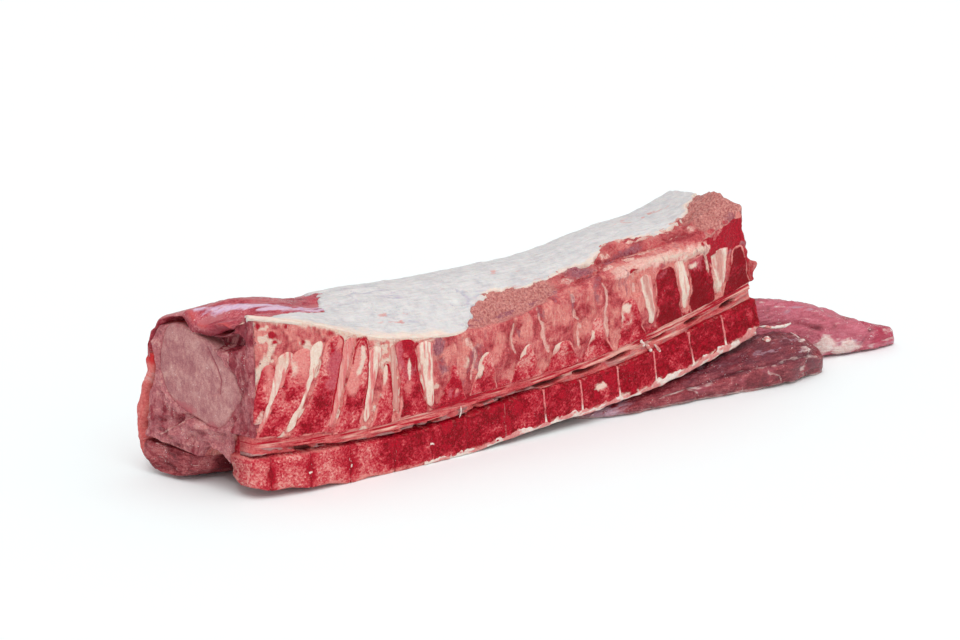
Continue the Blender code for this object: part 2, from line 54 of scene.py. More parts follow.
loin = {
    "length": 45.4, "cutSlant": 0.33, "slantReach": 10.0,
    "liftStart": 13.5, "liftSpan": 31.0, "liftHeight": 4.3, "liftPower": 2.05,
    "setback": 1.0, "setbackReach": 6.0,
    "crestDepth": 5.2, "shoulderDepth": 8.9, "shoulderHeight": 8.2, "flankDepth": 10.1,
    "chineDepth": 1.8, "bladeDepth": 0.5,
    "sideTop": 5.6, "sideBottom": 8.3, "flapInner": 13.3, "foot": 10,     # steps round the section
    # heights along the loin: place and height in turn
    "edge": (0, 13.3, 3, 12.6, 6, 11.6, 9, 10.4, 13, 9.6, 17, 9.1, 22, 9.15, 27, 9.7, 36, 9.8, 41, 9.8,
             43.5, 10.0, 45.4, 10.35),
    "crest": (0, 12.5, 2.5, 13.1, 4.5, 12.8, 6.5, 12.3, 9, 12.35, 15, 12.1, 20, 11.8, 24, 11.55, 28, 11.15,
              37, 10.9, 41, 10.35, 45.4, 10.4),
    "canalRoof": (0, 4.5, 4, 4.2, 9, 3.7, 13, 3.9, 18, 4.25, 24, 4.3, 31, 3.95, 38, 4.2, 45.4, 4.0),
    "canalFloor": (0, 3.0, 6, 2.85, 11, 2.6, 16, 2.7, 20, 3.0, 24, 3.1, 28, 2.8, 36, 2.65, 40, 2.8, 45.4,
                   2.5),
    "chineBottom": (0, 0.75, 2, 0.5, 4, 0.35, 7, 0.0, 14, 0.0, 18, 0.1, 22, 0.3, 27, 0.2, 34, -0.1, 45.4,
                    0.0),
}
discPlaces = (1.3, 4.2, 7.4, 11.1, 14.3, 17.4, 20.8, 24.5, 27.9, 31.5, 35.0, 38.5, 41.8)


def fade(value, start, end):
    # 0 before start, 1 after end, with an S-shaped rise between
    t = np.clip((np.asarray(value, float) - start) / (end - start), 0, 1)
    return t * t * (3 - 2 * t)


def hump(value, centre, width):
    # Bell curve, 1 at the centre
    return np.exp(-((np.asarray(value, float) - centre) / width) ** 2)


def bell(distance, width):
    # Bell curve of a distance, 1 where it is 0
    return np.exp(-(distance / width) ** 2)


def decay(distance, reach):
    # 1 up to a distance of 0, then dying away
    return np.exp(-np.maximum(distance, 0) / reach)


def most(*values):
    # The highest of several arrays, point by point
    return reduce(np.maximum, values)


def keyed(s, *pairs):
    # Smooth curve through (place, value) pairs: cubic Hermite with each slope from the neighbours
    places = np.array(pairs[0::2], float)
    values = np.array(pairs[1::2], float)
    slopes = np.gradient(values, places)
    s = np.asarray(s, float)
    i = np.clip(np.searchsorted(places, s) - 1, 0, len(places) - 2)
    width = places[i + 1] - places[i]
    t = np.clip((s - places[i]) / width, 0, 1)
    first = (2 * t**3 - 3 * t**2 + 1) * values[i] + (t**3 - 2 * t**2 + t) * width * slopes[i]
    second = (3 * t**2 - 2 * t**3) * values[i + 1] + (t**3 - t**2) * width * slopes[i + 1]
    return first + second


def noise(s, y, z, size, seed, octaves=1):
    # Value noise from -1 to 1: random numbers on a cubic lattice, blended by a quintic.
    # Each further octave has half the size and half the height.
    table = np.random.default_rng(seed).random(4096) * 2 - 1
    sizes = np.broadcast_to(np.asarray(size, float), (3,))
    s, y, z = np.broadcast_arrays(s, y, z)
    total = 0
    for octave in range(octaves):
        cells, parts = [], []
        for value, step in zip((s, y, z), sizes):
            scaled = value / step * 2**octave + 31.7 + 5.3 * octave
            cell = np.floor(scaled).astype(np.int64)
            part = scaled - cell
            cells.append(cell)
            parts.append(part**3 * (part * (6 * part - 15) + 10))
        layer = 0
        for i in (0, 1):
            for j in (0, 1):
                for k in (0, 1):
                    mixed = (cells[0] + i) * 73 + (cells[1] + j) * 1259 + (cells[2] + k) * 2741
                    mixed = (mixed ^ (mixed >> 7)) & 4095
                    weight = (parts[0] if i else 1 - parts[0]) * (parts[1] if j else 1 - parts[1])
                    layer = layer + table[mixed] * weight * (parts[2] if k else 1 - parts[2])
        total = total + layer / 2**octave
    return total


def toLine(s, z, *corners):
    # Distance from (s, z) to a line through the corners
    best = np.full(np.broadcast(s, z).shape, 1e9)
    for (s0, z0), (s1, z1) in zip(corners[:-1], corners[1:]):
        ds, dz = s1 - s0, z1 - z0
        t = np.clip(((s - s0) * ds + (z - z0) * dz) / (ds * ds + dz * dz), 0, 1)
        best = np.minimum(best, np.hypot(s - s0 - t * ds, z - z0 - t * dz))
    return best


def patch(s, z, place, height, wide, tall, seed):
    # Soft patch with a wandering edge: a bell curve of a distance that noise bends
    size = 0.2 + 0.5 * (wide + tall)
    away = np.hypot((s - place) / wide, (z - height) / tall) + 0.6 * noise(s, seed, z, size, seed, 3)
    return bell(np.maximum(away, 0), 1)


def lift(s):
    # How far the far end is raised over the tenderloin: a power of the distance from where it starts
    return loin["liftHeight"] * np.clip((s - loin["liftStart"]) / loin["liftSpan"], 0,
                                        2) ** loin["liftPower"]


def liftAngle(s):
    # The loin's own slope: the derivative of lift()
    along = np.clip((s - loin["liftStart"]) / loin["liftSpan"], 0, 2)
    power = loin["liftPower"]
    return np.arctan(loin["liftHeight"] * power / loin["liftSpan"] * along ** (power - 1))


def toScene(points):
    # Straight layout to the scene: slants and sets back the cut end, tilts each section by the loin's
    # slope, lifts it, and turns centimetres into metres
    s, y, z = np.moveaxis(np.asarray(points, float), -1, 0)
    slant = loin["cutSlant"] * y * np.clip(1 - s / loin["slantReach"], 0, 1) ** 2
    back = loin["setback"] * np.clip(1 - s / loin["setbackReach"], 0, 1) ** 2
    angle = liftAngle(s)
    x = s - slant - z * np.sin(angle)
    return 0.01 * np.stack([x, y + back, lift(s) + z * np.cos(angle)], -1) + layoutZero


def floorHeight(s):
    # The table's height as the straight layout sees it
    return -lift(s) / np.cos(liftAngle(s))


def edgeHeight(s):
    # Top edge of the sawn face
    return keyed(s, *loin["edge"])


def crestHeight(s):
    # Highest line of the back
    return keyed(s, *loin["crest"])


def canalRoof(s):
    # Top of the open spinal canal
    return keyed(s, *loin["canalRoof"])


def canalFloor(s):
    # Bottom of the canal, which is the top of the bodies
    return keyed(s, *loin["canalFloor"])


def chineBottom(s):
    # Bottom of the bodies, which bulges between the first discs and never goes below the table
    bulge, bulgeWidth, bulgeEnd = 0.22, 0.75, 12.5
    lumps = np.max([bell(s - place, bulgeWidth) for place in discPlaces[:4]], axis=0)
    height = keyed(s, *loin["chineBottom"]) + bulge * (1 - lumps) * fade(bulgeEnd - s, 0, 4)
    return np.maximum(height, floorHeight(s))


def outline(s):
    # Section at s as 17 control points: 0 sawn top edge, 3 crest, 6 shoulder, 8 flank,
    # 10-11 foot of the flap, 13 inside of the flap, 14-15 roof of the hollow, 16 back of the chine
    s = np.asarray(s, float)
    edge, crest = edgeHeight(s), crestHeight(s)
    rise = crest - edge
    dip = keyed(s, 0, 0.55, 4, 0.1, 8, 0, 36, 0, 41, -0.2, 45.4, -0.95)
    raised = keyed(s, 0, 0.3, 4, 0.0, 8, 0.0, 26, 0.0, 30, 0.0, 38, 0.4, 45.4, 1.2)
    floor = floorHeight(s) + np.maximum(raised, 0)
    flank = loin["flankDepth"] + keyed(s, 0, 0.0, 18, 0.3, 34, 0.1, 45.4, -0.5)
    flap = keyed(s, 0, 5.2, 14, 5.2, 24, 3.9, 45.4, 3.3)
    deep, high = loin["shoulderDepth"], loin["shoulderHeight"]
    top = loin["crestDepth"]
    one = np.ones_like(s)

    def shoulder(degrees):
        angle = math.radians(degrees)
        across, up = math.sin(angle) ** 0.85, math.cos(angle) ** 0.85
        return (top + (deep - top) * across) * one, high + (crest - high) * up

    points = [
        (0 * one, edge), (0.28 * top * one, edge + 0.46 * rise - dip),
        (0.62 * top * one, edge + 0.87 * rise - 0.6 * dip), (top * one, crest),
        shoulder(38), shoulder(64), (deep * one, high * one),
        (0.45 * deep + 0.55 * flank + 0.15, 5.7 * one), (flank, 3.1 + 0.5 * floor),
        (flank - 0.45, floor + 1.1), (flank - 1.7, floor), (flank - 0.62 * flap, floor),
        (flank - 0.87 * flap, floor + 0.5), (flank - flap, floor * 0.6 + 1.6),
        (0.5 * (flank - flap) + 1.5, 3.1 * one), (2.7 * one, 2.9 * one),
        (loin["chineDepth"] + 0.08 + 0 * s, 2.3 * one),
    ]
    return np.stack([np.stack(point, -1) for point in points], -2)


def skin(s, steps, inward=0.0):
    # Points (s, y, z) of the outline for rows s and a grid of steps: Catmull-Rom through the
    # control points, then moved inward along the normal
    control = outline(s)
    rows = np.arange(len(s))[:, None]
    last = control.shape[1] - 1
    steps = np.broadcast_to(steps, (len(s), np.shape(steps)[-1]))

    def at(u):
        u = np.clip(u, 0, last)
        i = np.clip(u.astype(int), 0, last - 1)
        t = (u - i)[..., None]
        before, first = control[rows, np.maximum(i - 1, 0)], control[rows, i]
        second, after = control[rows, i + 1], control[rows, np.minimum(i + 2, last)]
        slope, bend = second - before, 2 * before - 5 * first + 4 * second - after
        return first + 0.5 * t * (slope + t * (bend + t * (3 * (first - second) + after - before)))

    along = at(steps + 0.04) - at(steps - 0.04)
    along /= np.linalg.norm(along, axis=-1, keepdims=True)
    normal = np.stack([-along[..., 1], along[..., 0]], -1)
    point = at(steps) - normal * np.broadcast_to(inward, steps.shape)[..., None]
    point[..., 1] = np.maximum(point[..., 1], control[:, loin["foot"], 1][:, None])
    return np.concatenate([np.broadcast_to(s[:, None], steps.shape)[..., None], point], -1)


def fillMesh(name, vertices, quads, fans, values, material):
    # Turns the faces outward by the sign of the volume they enclose, then fills a mesh
    a, b, c, d = (vertices[quads[:, k]] for k in range(4))
    volume = np.sum(a * np.cross(b, c)) + np.sum(a * np.cross(c, d))
    if len(fans):
        volume += np.sum(vertices[fans[:, 0]] * np.cross(vertices[fans[:, 1]], vertices[fans[:, 2]]))
    if volume < 0:
        quads, fans = quads[:, ::-1], fans[:, ::-1]
    corners = np.concatenate([quads.ravel(), fans.ravel()]).astype(np.int32)
    starts = np.concatenate([4 * np.arange(len(quads)), 4 * len(quads) + 3 * np.arange(len(fans))])
    mesh = bpy.data.meshes.new(name)
    mesh.vertices.add(len(vertices))
    mesh.vertices.foreach_set("co", vertices.astype(np.float32).ravel())
    mesh.loops.add(len(corners))
    mesh.loops.foreach_set("vertex_index", corners)
    mesh.polygons.add(len(starts))
    mesh.polygons.foreach_set("loop_start", starts.astype(np.int32))
    mesh.update(calc_edges=True)
    for label, value in values.items():
        layer = mesh.attributes.new(label, "FLOAT", "POINT")
        layer.data.foreach_set("value", value.astype(np.float32))
    mesh.shade_smooth()
    mesh.materials.append(material)
    return mesh


def addPiece(name, mesh, slotName, *nodes):
    # Puts a finished piece in the scene in place of the CAD nodes named
    piece = bpy.data.objects.new(name, mesh)
    bpy.context.scene.collection.objects.link(piece)
    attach(piece, "root")
    if nodes:
        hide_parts(*nodes)


def ringPiece(name, rings, values, material, slotName, *nodes):
    # A closed body from rings of points, each end closed by a fan to the ring's middle
    rows, columns = rings.shape[:2]
    index = np.arange(rows * columns).reshape(rows, columns)
    following = np.roll(index, -1, axis=1)
    quads = np.stack([index[:-1], following[:-1], following[1:], index[1:]], -1).reshape(-1, 4)
    count = rows * columns
    firstFan = np.stack([following[0], index[0], np.full(columns, count)], -1)
    lastFan = np.stack([index[-1], following[-1], np.full(columns, count + 1)], -1)
    vertices = np.concatenate([rings.reshape(-1, 3), rings[:1].mean(1), rings[-1:].mean(1)])
    full = {}
    for label, value in values.items():
        value = np.broadcast_to(value, (rows, columns))
        full[label] = np.concatenate([value.ravel(), value[:1].mean(1), value[-1:].mean(1)])
    mesh = fillMesh(name, vertices, quads, np.concatenate([firstFan, lastFan]), full, material)
    addPiece(name, mesh, slotName, *nodes)


def sheetPiece(name, front, back, values, material, slotName, *nodes, under=None):
    # A closed body between two grids of points, joined round their border; under holds the back's own values
    rows, columns = front.shape[:2]
    count = rows * columns
    index = np.arange(count).reshape(rows, columns)
    face = np.stack([index[:-1, :-1], index[:-1, 1:], index[1:, 1:], index[1:, :-1]], -1).reshape(-1, 4)
    border = np.concatenate([index[0], index[1:, -1], index[-1, -2::-1], index[-2:0:-1, 0]])
    following = np.roll(border, -1)
    wall = np.stack([following, border, border + count, following + count], -1)
    quads = np.concatenate([face, face[:, ::-1] + count, wall])
    vertices = np.concatenate([front.reshape(-1, 3), back.reshape(-1, 3)])
    full = {}
    for label, value in values.items():
        sides = (value, under[label] if under else value)
        full[label] = np.concatenate([np.broadcast_to(side, (rows, columns)).ravel() for side in sides])
    mesh = fillMesh(name, vertices, quads, np.zeros((0, 3), int), full, material)
    addPiece(name, mesh, slotName, *nodes)


def tone(red, green, blue):
    # Screen colour 0-255 to the linear colour that shaders want
    value = np.array([red, green, blue]) / 255
    linear = np.where(value <= 0.04045, value / 12.92, ((value + 0.055) / 1.055) ** 2.4)
    return (*(float(part) for part in linear), 1.0)


def plug(tree, socket, value):
    # Links a socket to another one, or sets it to a plain value
    if isinstance(value, bpy.types.NodeSocket):
        tree.links.new(value, socket)
    else:
        socket.default_value = value


def put(tree, kind, **settings):
    # Adds a node. Lower-case settings are its properties, capitalised ones its sockets.
    node = tree.nodes.new(kind)
    for key, value in settings.items():
        if key[0].islower():
            setattr(node, key, value)
        else:
            plug(tree, node.inputs[key.replace("_", " ")], value)
    return node


def calc(tree, operation, *values, clamp=False):
    # A sum on two or three values
    node = put(tree, "ShaderNodeMath", operation=operation, use_clamp=clamp)
    for socket, value in zip(node.inputs, values):
        plug(tree, socket, value)
    return node.outputs[0]


def blend(tree, amount, first, second):
    # Mix of two colours
    node = put(tree, "ShaderNodeMix", data_type="RGBA")
    for socket, value in zip((node.inputs[0], node.inputs[6], node.inputs[7]), (amount, first, second)):
        plug(tree, socket, value)
    return node.outputs[2]


def ramp(tree, amount, *stops):
    # Colours in steps along a value, each stop a place and a screen colour
    node = put(tree, "ShaderNodeValToRGB", Fac=amount)
    elements = node.color_ramp.elements
    for k, (place, colour) in enumerate(stops):
        element = elements[k] if k < 2 else elements.new(place)
        element.position = place
        element.color = tone(*colour)
    return node.outputs[0]


def grain(tree, where, size, detail=3.0, rough=0.55, warp=0.0):
    # Noise with features of that size, in metres
    return put(tree, "ShaderNodeTexNoise", Vector=where, Scale=1 / size, Detail=detail,
               Roughness=rough, Distortion=warp).outputs[0]


# what all the tissues share: sizes of their patterns in metres, the painted glints' colour, light inside the
# surface
flesh = {
    "patches": 0.012, "strands": 0.0016, "clumps": 0.007, "cells": 0.0013, "glints": 0.0011,
    "glint": (250, 238, 236), "unevenGloss": 0.22, "bump": 0.6,
    "inside": {"Subsurface Weight": 0.12, "Subsurface Radius": (1.0, 0.25, 0.15), "Subsurface Scale": 0.003},
}


def tissue(name, lean, coats=(), grainSize=0.0012, fibre=(1, 1, 1), fibreDepth=0.25, wet=0.35,
           bumpDepth=0.0006, paintedGlints=0.0, marrow=None, shine=0.22, contrast=1.0, speckle=1.0):
    # Lean colour in three tones, darkened along fibres; then each coat (attribute, tone, tone, raggedness,
    # size) covers it where its attribute is high, with an edge that noise makes ragged.
    material = bpy.data.materials.new(name)
    material.use_nodes = True
    tree = material.node_tree
    shader = tree.nodes["Principled BSDF"]

    def add(first, second):
        return calc(tree, "ADD", first, second)

    def less(first, second, clamp=False):
        return calc(tree, "SUBTRACT", first, second, clamp=clamp)

    def times(first, second, clamp=False):
        return calc(tree, "MULTIPLY", first, second, clamp=clamp)

    def ragged(attribute, pattern, raggedness, gain, offset):
        # (attribute + centred noise) * gain + offset, kept from 0 to 1
        amount = put(tree, "ShaderNodeAttribute", attribute_name=attribute).outputs["Fac"]
        edge = times(less(pattern, 0.5), raggedness)
        return calc(tree, "MULTIPLY_ADD", add(amount, edge), gain, offset, clamp=True)

    where = put(tree, "ShaderNodeTexCoord").outputs["Object"]
    patches = grain(tree, where, flesh["patches"], 3.0, 0.6, 0.4)
    fine = grain(tree, where, grainSize, 2.0, 0.6)
    run = put(tree, "ShaderNodeMapping", Vector=where, Scale=fibre).outputs[0]
    strands = grain(tree, run, flesh["strands"], 3.0, 0.6, 0.3)
    clouds, grains = 0.8 * contrast, 0.6 * contrast * speckle
    place = add(add(times(patches, clouds), times(strands, grains)), times(fine, grains))
    place = less(place, 0.5 * clouds + grains - 0.5, True)
    colour = ramp(tree, place, *zip((0.2, 0.5, 0.8), lean))
    height = add(times(strands, fibreDepth * 4), fine)
    if marrow:
        amount = put(tree, "ShaderNodeAttribute", attribute_name="deep").outputs["Fac"]
        cells = put(tree, "ShaderNodeTexVoronoi", Vector=where, Scale=1 / flesh["cells"], Randomness=1.0)
        chance = put(tree, "ShaderNodeSeparateColor", Color=cells.outputs["Color"]).outputs[0]
        chance = add(times(chance, 0.4), times(fine, 0.6))
        clumps = grain(tree, where, flesh["clumps"], 4.0, 0.65)
        chance = less(add(chance, times(clumps, 0.7)), times(amount, 0.62), True)
        spongy = ramp(tree, less(chance, 0.12, True), *marrow)
        covered = ragged("marrow", fine, 0.8, 2.4, -0.7)
        colour = blend(tree, covered, colour, spongy)
        height = add(height, times(cells.outputs["Distance"], 1.2))
    for attribute, first, second, raggedness, size in coats:
        amount = ragged(attribute, grain(tree, run, size, 3.0, 0.6, 0.5), raggedness, 2.2, -0.62)
        mixed = less(add(times(strands, 2.4), times(fine, 1.2)), 1.3, True)
        colour = blend(tree, amount, colour, blend(tree, mixed, tone(*first), tone(*second)))
    # painted highlight: white specks in clusters are painted into the base colour to stand in for glints on
    # wet meat
    if paintedGlints:
        bright = calc(tree, "GREATER_THAN", grain(tree, where, flesh["glints"], 1.0, 0.5), 0.7)
        clusters = times(less(patches, 0.5), 6.0, True)
        bright = times(times(bright, clusters), paintedGlints)
        colour = blend(tree, bright, colour, tone(*flesh["glint"]))
    tree.links.new(colour, shader.inputs["Base Color"])
    gloss = calc(tree, "MULTIPLY_ADD", patches, flesh["unevenGloss"], wet - 0.5 * flesh["unevenGloss"])
    tree.links.new(gloss, shader.inputs["Roughness"])
    shader.inputs["Specular IOR Level"].default_value = shine
    for socket, value in flesh["inside"].items():
        shader.inputs[socket].default_value = value
    bump = put(tree, "ShaderNodeBump", Strength=flesh["bump"], Distance=bumpDepth, Height=height)
    tree.links.new(bump.outputs[0], shader.inputs["Normal"])
    return material


# screen colours that several tissues share
marrowTones = ((0.0, (132, 0, 16)), (0.28, (170, 10, 36)), (0.52, (200, 58, 70)),
               (0.76, (220, 118, 116)), (1.0, (240, 186, 174)))
cream, warmCream = (226, 204, 188), (232, 186, 170)
blood, darkBlood = (192, 16, 42), (150, 2, 28)

paint = {
    "meat": tissue("sawnLean", ((154, 38, 48), (196, 82, 86), (226, 140, 132)), fibre=(1, 1, 0.35),
                   coats=(("pale", (234, 158, 146), (206, 100, 98), 1.2, 0.003),
                          ("seam", (244, 202, 190), (224, 154, 144), 1.0, 0.002),
                          ("cream", cream, warmCream, 0.8, 0.002),
                          ("scraped", (224, 156, 146), (158, 74, 74), 1.0, 0.0016),
                          ("purple", (184, 118, 126), (132, 50, 68), 1.2, 0.002),
                          ("blood", blood, darkBlood, 0.8, 0.002)),
                   marrow=marrowTones, paintedGlints=0.35, shine=0.2, bumpDepth=0.0012, contrast=2.1, speckle=0.5),
    "bone": tissue("redMarrow", ((168, 20, 40), (206, 70, 80), (232, 130, 128)), wet=0.4,
                   coats=(("mauve", (208, 104, 112), (184, 60, 76), 1.3, 0.003),
                          ("rim", (234, 158, 148), (220, 118, 116), 0.9, 0.0016),
                          ("cream", cream, (242, 200, 186), 0.8, 0.0018),
                          ("blood", blood, darkBlood, 0.9, 0.002)),
                   marrow=marrowTones, bumpDepth=0.0009, paintedGlints=0.2, shine=0.12),
    "disc": tissue("discRed", ((100, 0, 12), (150, 4, 26), (190, 30, 50)), wet=0.25,
                   coats=(("pale", (214, 96, 102), (230, 146, 140), 0.8, 0.002),
                          ("cream", (248, 226, 220), cream, 0.9, 0.0012)), paintedGlints=0.5, shine=0.15),
    "ligament": tissue("gristle", ((214, 172, 156), (230, 206, 190), (238, 224, 212)),
                       fibre=(1, 1, 0.2), wet=0.35,
                       coats=(("pink", (228, 146, 138), (206, 96, 100), 0.9, 0.002),
                              ("grey", (192, 124, 118), (212, 156, 144), 0.5, 0.003)), paintedGlints=0.15,
                              shine=0.2),
    "eye": tissue("eyeLean", ((158, 92, 98), (182, 122, 122), (202, 150, 144)), grainSize=0.0009,
                  coats=(("pink", (190, 98, 104), (174, 80, 90), 0.7, 0.003),
                         ("dark", (150, 62, 76), (166, 88, 96), 0.6, 0.002)), wet=0.34,
                  bumpDepth=0.0008, paintedGlints=0.6, fibre=(1, 0.6, 0.3), contrast=1.45),
    "end": tissue("cutEndLean", ((156, 78, 86), (186, 112, 116), (210, 146, 142)), fibre=(1, 0.5, 0.3),
                  coats=(("dark", (118, 22, 40), (164, 66, 76), 0.9, 0.003),
                         ("cream", cream, (220, 170, 164), 0.8, 0.0016),
                         ("coral", (214, 96, 92), (190, 66, 70), 0.5, 0.003)),
                  wet=0.16, bumpDepth=0.0016, paintedGlints=0.95, contrast=1.6),
    "dark": tissue("topMuscle", ((134, 30, 46), (176, 64, 78), (206, 112, 118)), fibre=(0.15, 1, 1),
                   coats=(("pale", (196, 118, 122), (176, 92, 98), 0.7, 0.003),
                          ("silver", (204, 168, 200), (222, 192, 206), 1.2, 0.002),
                          ("coral", (210, 92, 90), (186, 60, 66), 0.7, 0.003),
                          ("cream", cream, warmCream, 0.8, 0.002),
                          # hollow: painted shade on the underside over the cut end's hollow
                          ("hollow", (130, 34, 48), (156, 60, 72), 0.5, 0.003)),
                   wet=0.2, paintedGlints=0.55, fibreDepth=0.5, contrast=1.3),
    "side": tissue("flankMuscle", ((176, 62, 64), (208, 100, 96), (226, 142, 134)),
                   fibre=(0.2, 1, 1), wet=0.26,
                   coats=(("cream", (222, 196, 192), (206, 152, 150), 1.1, 0.002),
                          ("dark", (160, 54, 64), (184, 82, 86), 0.9, 0.003),
                          ("blood", (206, 40, 40), (186, 22, 34), 0.4, 0.003)), paintedGlints=0.3),
    "flap": tissue("flapMuscle", ((112, 28, 38), (160, 70, 76), (196, 116, 116)), fibre=(0.3, 0.5, 1),
                   coats=(("cream", (230, 204, 198), (216, 168, 162), 0.8, 0.002),
                          ("dark", (84, 12, 22), (112, 28, 38), 0.7, 0.003),
                          ("coral", (212, 104, 98), (188, 72, 74), 0.7, 0.003)), wet=0.22, paintedGlints=0.9,
                   contrast=1.4, bumpDepth=0.0012),
    "fat": tissue("fatCap", ((190, 186, 190), (214, 210, 210), (228, 224, 221)), grainSize=0.004,
                  fibre=(0.1, 1, 1), fibreDepth=0.5, wet=0.34,
                  coats=(("lilac", (186, 180, 194), (204, 197, 204), 0.8, 0.004),
                         ("cream", (236, 222, 208), (232, 204, 192), 0.7, 0.003),
                         ("pink", (226, 172, 164), (206, 132, 130), 1.2, 0.0018)), bumpDepth=0.0012,
                  shine=0.3, contrast=0.8),
    # the canal's dark coat is painted shade in the crevice and the hollows, partly the vessels' own colour
    "canal": tissue("canalTissue", ((170, 44, 54), (204, 88, 90), (226, 138, 130)),
                    fibre=(0.15, 1, 1), wet=0.25,
                    coats=(("cream", warmCream, (230, 164, 152), 0.9, 0.0018),
                           ("grey", (190, 146, 142), (160, 106, 106), 0.6, 0.002),
                           ("blood", blood, darkBlood, 0.8, 0.002),
                           ("dark", (88, 30, 33), (122, 66, 62), 0.5, 0.002)), paintedGlints=0.25, fibreDepth=0.5,
                    shine=0.15),
    "tenderloin": tissue("tenderloinLean", ((98, 20, 32), (140, 50, 60), (182, 92, 96)),
                         fibre=(0.18, 1, 1), wet=0.18,
                         coats=(("pink", (208, 116, 132), (178, 76, 94), 0.6, 0.004),
                                ("dark", (86, 20, 36), (124, 48, 62), 0.8, 0.003),
                                ("silver", (170, 132, 152), (196, 158, 168), 1.0, 0.002),
                                ("red", (196, 62, 92), (160, 30, 58), 0.6, 0.003),
                                ("cream", (238, 222, 216), (216, 172, 166), 1.0, 0.002)),
                         fibreDepth=0.4, paintedGlints=0.9, bumpDepth=0.0012, contrast=1.3, shine=0.35),
    "fatBit": tissue("fatBit", ((220, 200, 192), (232, 218, 208), (240, 232, 224)),
                     coats=(("pink", (222, 156, 148), (204, 118, 120), 0.8, 0.002),), wet=0.3),
}


# one row for each spinous process: left and right of its foot, of its waist and of its tip, then the tip's
# height
spines = (
    (0.15, 0.35, 0.25, 1.3, 0.9, 1.85, 9.7), (0.25, 2.0, 1.65, 3.9, 3.2, 4.45, 10.5),
    (2.6, 5.6, 4.55, 6.5, 5.6, 7.1, 11.0), (5.95, 8.3, 7.15, 8.95, 7.95, 9.0, 10.4),
    (8.9, 11.0, 9.95, 11.0, 10.3, 10.75, 8.2), (11.4, 13.95, 11.6, 13.3, 11.1, 12.8, 9.65),
    (14.7, 17.5, 15.6, 16.95, 16.2, 16.55, 7.0), (17.7, 20.3, 18.3, 20.0, 18.8, 19.6, 7.4),
    (21.4, 24.5, 22.1, 23.8, 22.7, 23.4, 7.1), (25.0, 28.0, 25.4, 27.5, 25.8, 27.0, 6.4),
    (28.4, 31.3, 29.0, 30.8, 29.4, 30.2, 7.2), (31.7, 34.6, 32.1, 34.0, 32.4, 33.5, 7.7),
    (35.5, 38.2, 35.7, 38.0, 35.9, 37.8, 8.9), (38.9, 41.6, 39.1, 41.4, 39.3, 41.2, 8.5),
    (42.3, 45.1, 43.1, 44.95, 43.7, 44.8, 7.6),
)
# one row for each ligament: the spinous process on its right, then left, right and height of its foot and
# its tip
ligaments = (
    (1, 0.25, 0.6, 5.0, 2.1, 3.3, 10.4), (2, 1.7, 2.9, 4.7, 4.5, 5.6, 10.8),
    (3, 5.6, 6.0, 4.5, 7.05, 8.0, 10.6),
    (4, 8.4, 8.9, 4.3, 9.0, 10.2, 9.6), (5, 11.0, 11.5, 4.6, 10.75, 11.2, 9.4),
    (6, 13.95, 14.5, 4.3, 13.0, 14.5, 9.2), (12, 34.9, 35.4, 4.9, 34.2, 35.7, 8.9),
    (13, 38.2, 38.9, 4.8, 37.9, 39.1, 8.9), (14, 41.6, 42.4, 5.0, 41.4, 43.4, 8.1),
)


def spineEdges(spine, height):
    # Left and right edge at a height: curves through the foot, the waist halfway up and the round tip
    footLeft, footRight, waistLeft, waistRight, tipLeft, tipRight, tip = spines[spine]
    foot = float(canalRoof(0.5 * (footLeft + footRight)))
    t = np.clip((height - foot) / (tip - foot), 0, 1)
    rounded = np.sqrt(np.maximum(1 - np.maximum((t - 0.9) / 0.1, 0) ** 2, 0.02))
    left = keyed(t, 0, footLeft, 0.5, waistLeft, 1, tipLeft)
    right = keyed(t, 0, footRight, 0.5, waistRight, 1, tipRight)
    middle, half = 0.5 * (left + right), 0.5 * (right - left) * rounded
    wobble = 0.07 * noise(height, 0, 3.0 * spine, 0.8, 5, 2)
    return middle - half + wobble, middle + half + 0.07 * noise(height, 3, 3.0 * spine, 0.7, 6, 2)


def ligamentEdges(row, height):
    # Left and right edge at a height: straight lines, held back where the bones beside it are in the way
    spine, footLeft, footRight, foot, tipLeft, tipRight, tip = row
    overlap, least = 0.12, 0.14     # how far it tucks under the bones, its least width
    share = (height - foot) / (tip - foot)
    left = footLeft + share * (tipLeft - footLeft)
    right = footRight + share * (tipRight - footRight)
    below = height < spines[spine - 1][-1] - 0.2
    left = np.where(below, np.maximum(left, spineEdges(spine - 1, height)[1] - overlap), left)
    below = height < spines[spine][-1] - 0.2
    right = np.where(below, np.minimum(right, spineEdges(spine, height)[0] + overlap), right)
    return left, np.maximum(right, left + least)


def insideInlays(s, z):
    # How deep (s, z) lies inside the nearest bone and the nearest ligament, below 0 outside, cm
    bone = np.full(np.broadcast(s, z).shape, -9.0)
    tendon = bone.copy()
    for spine, row in enumerate(spines):
        left, right = spineEdges(spine, z)
        bone = np.maximum(bone, np.minimum(np.minimum(s - left, right - s), row[-1] - z))
    for row in ligaments:
        left, right = ligamentEdges(row, z)
        within = np.minimum(np.minimum(s - left, right - s), np.minimum(row[6] - z, z - row[3]))
        tendon = np.maximum(tendon, within)
    return bone, tendon


def sawnRelief(s, z):
    # Unevenness of the sawn face: bundles of lean bulging between their seams where it is all meat,
    # saw marks everywhere
    soft = fade(s, 15, 20)
    near, arch, ridge = septa(s, z)
    swell = noise(s, 0, z, (1.3, 1, 2.2), 11, 2) + 0.5 * soft * noise(s, 0, z, (0.6, 1, 1.2), 16, 2)
    crown = fade(near, 0.0, 0.7) * fade(z - canalRoof(s), 0.5, 2.0)
    return (0.04 + 0.06 * soft) * swell - 0.32 * soft * crown + 0.02 * noise(s, 0, z, 0.35, 12, 2)


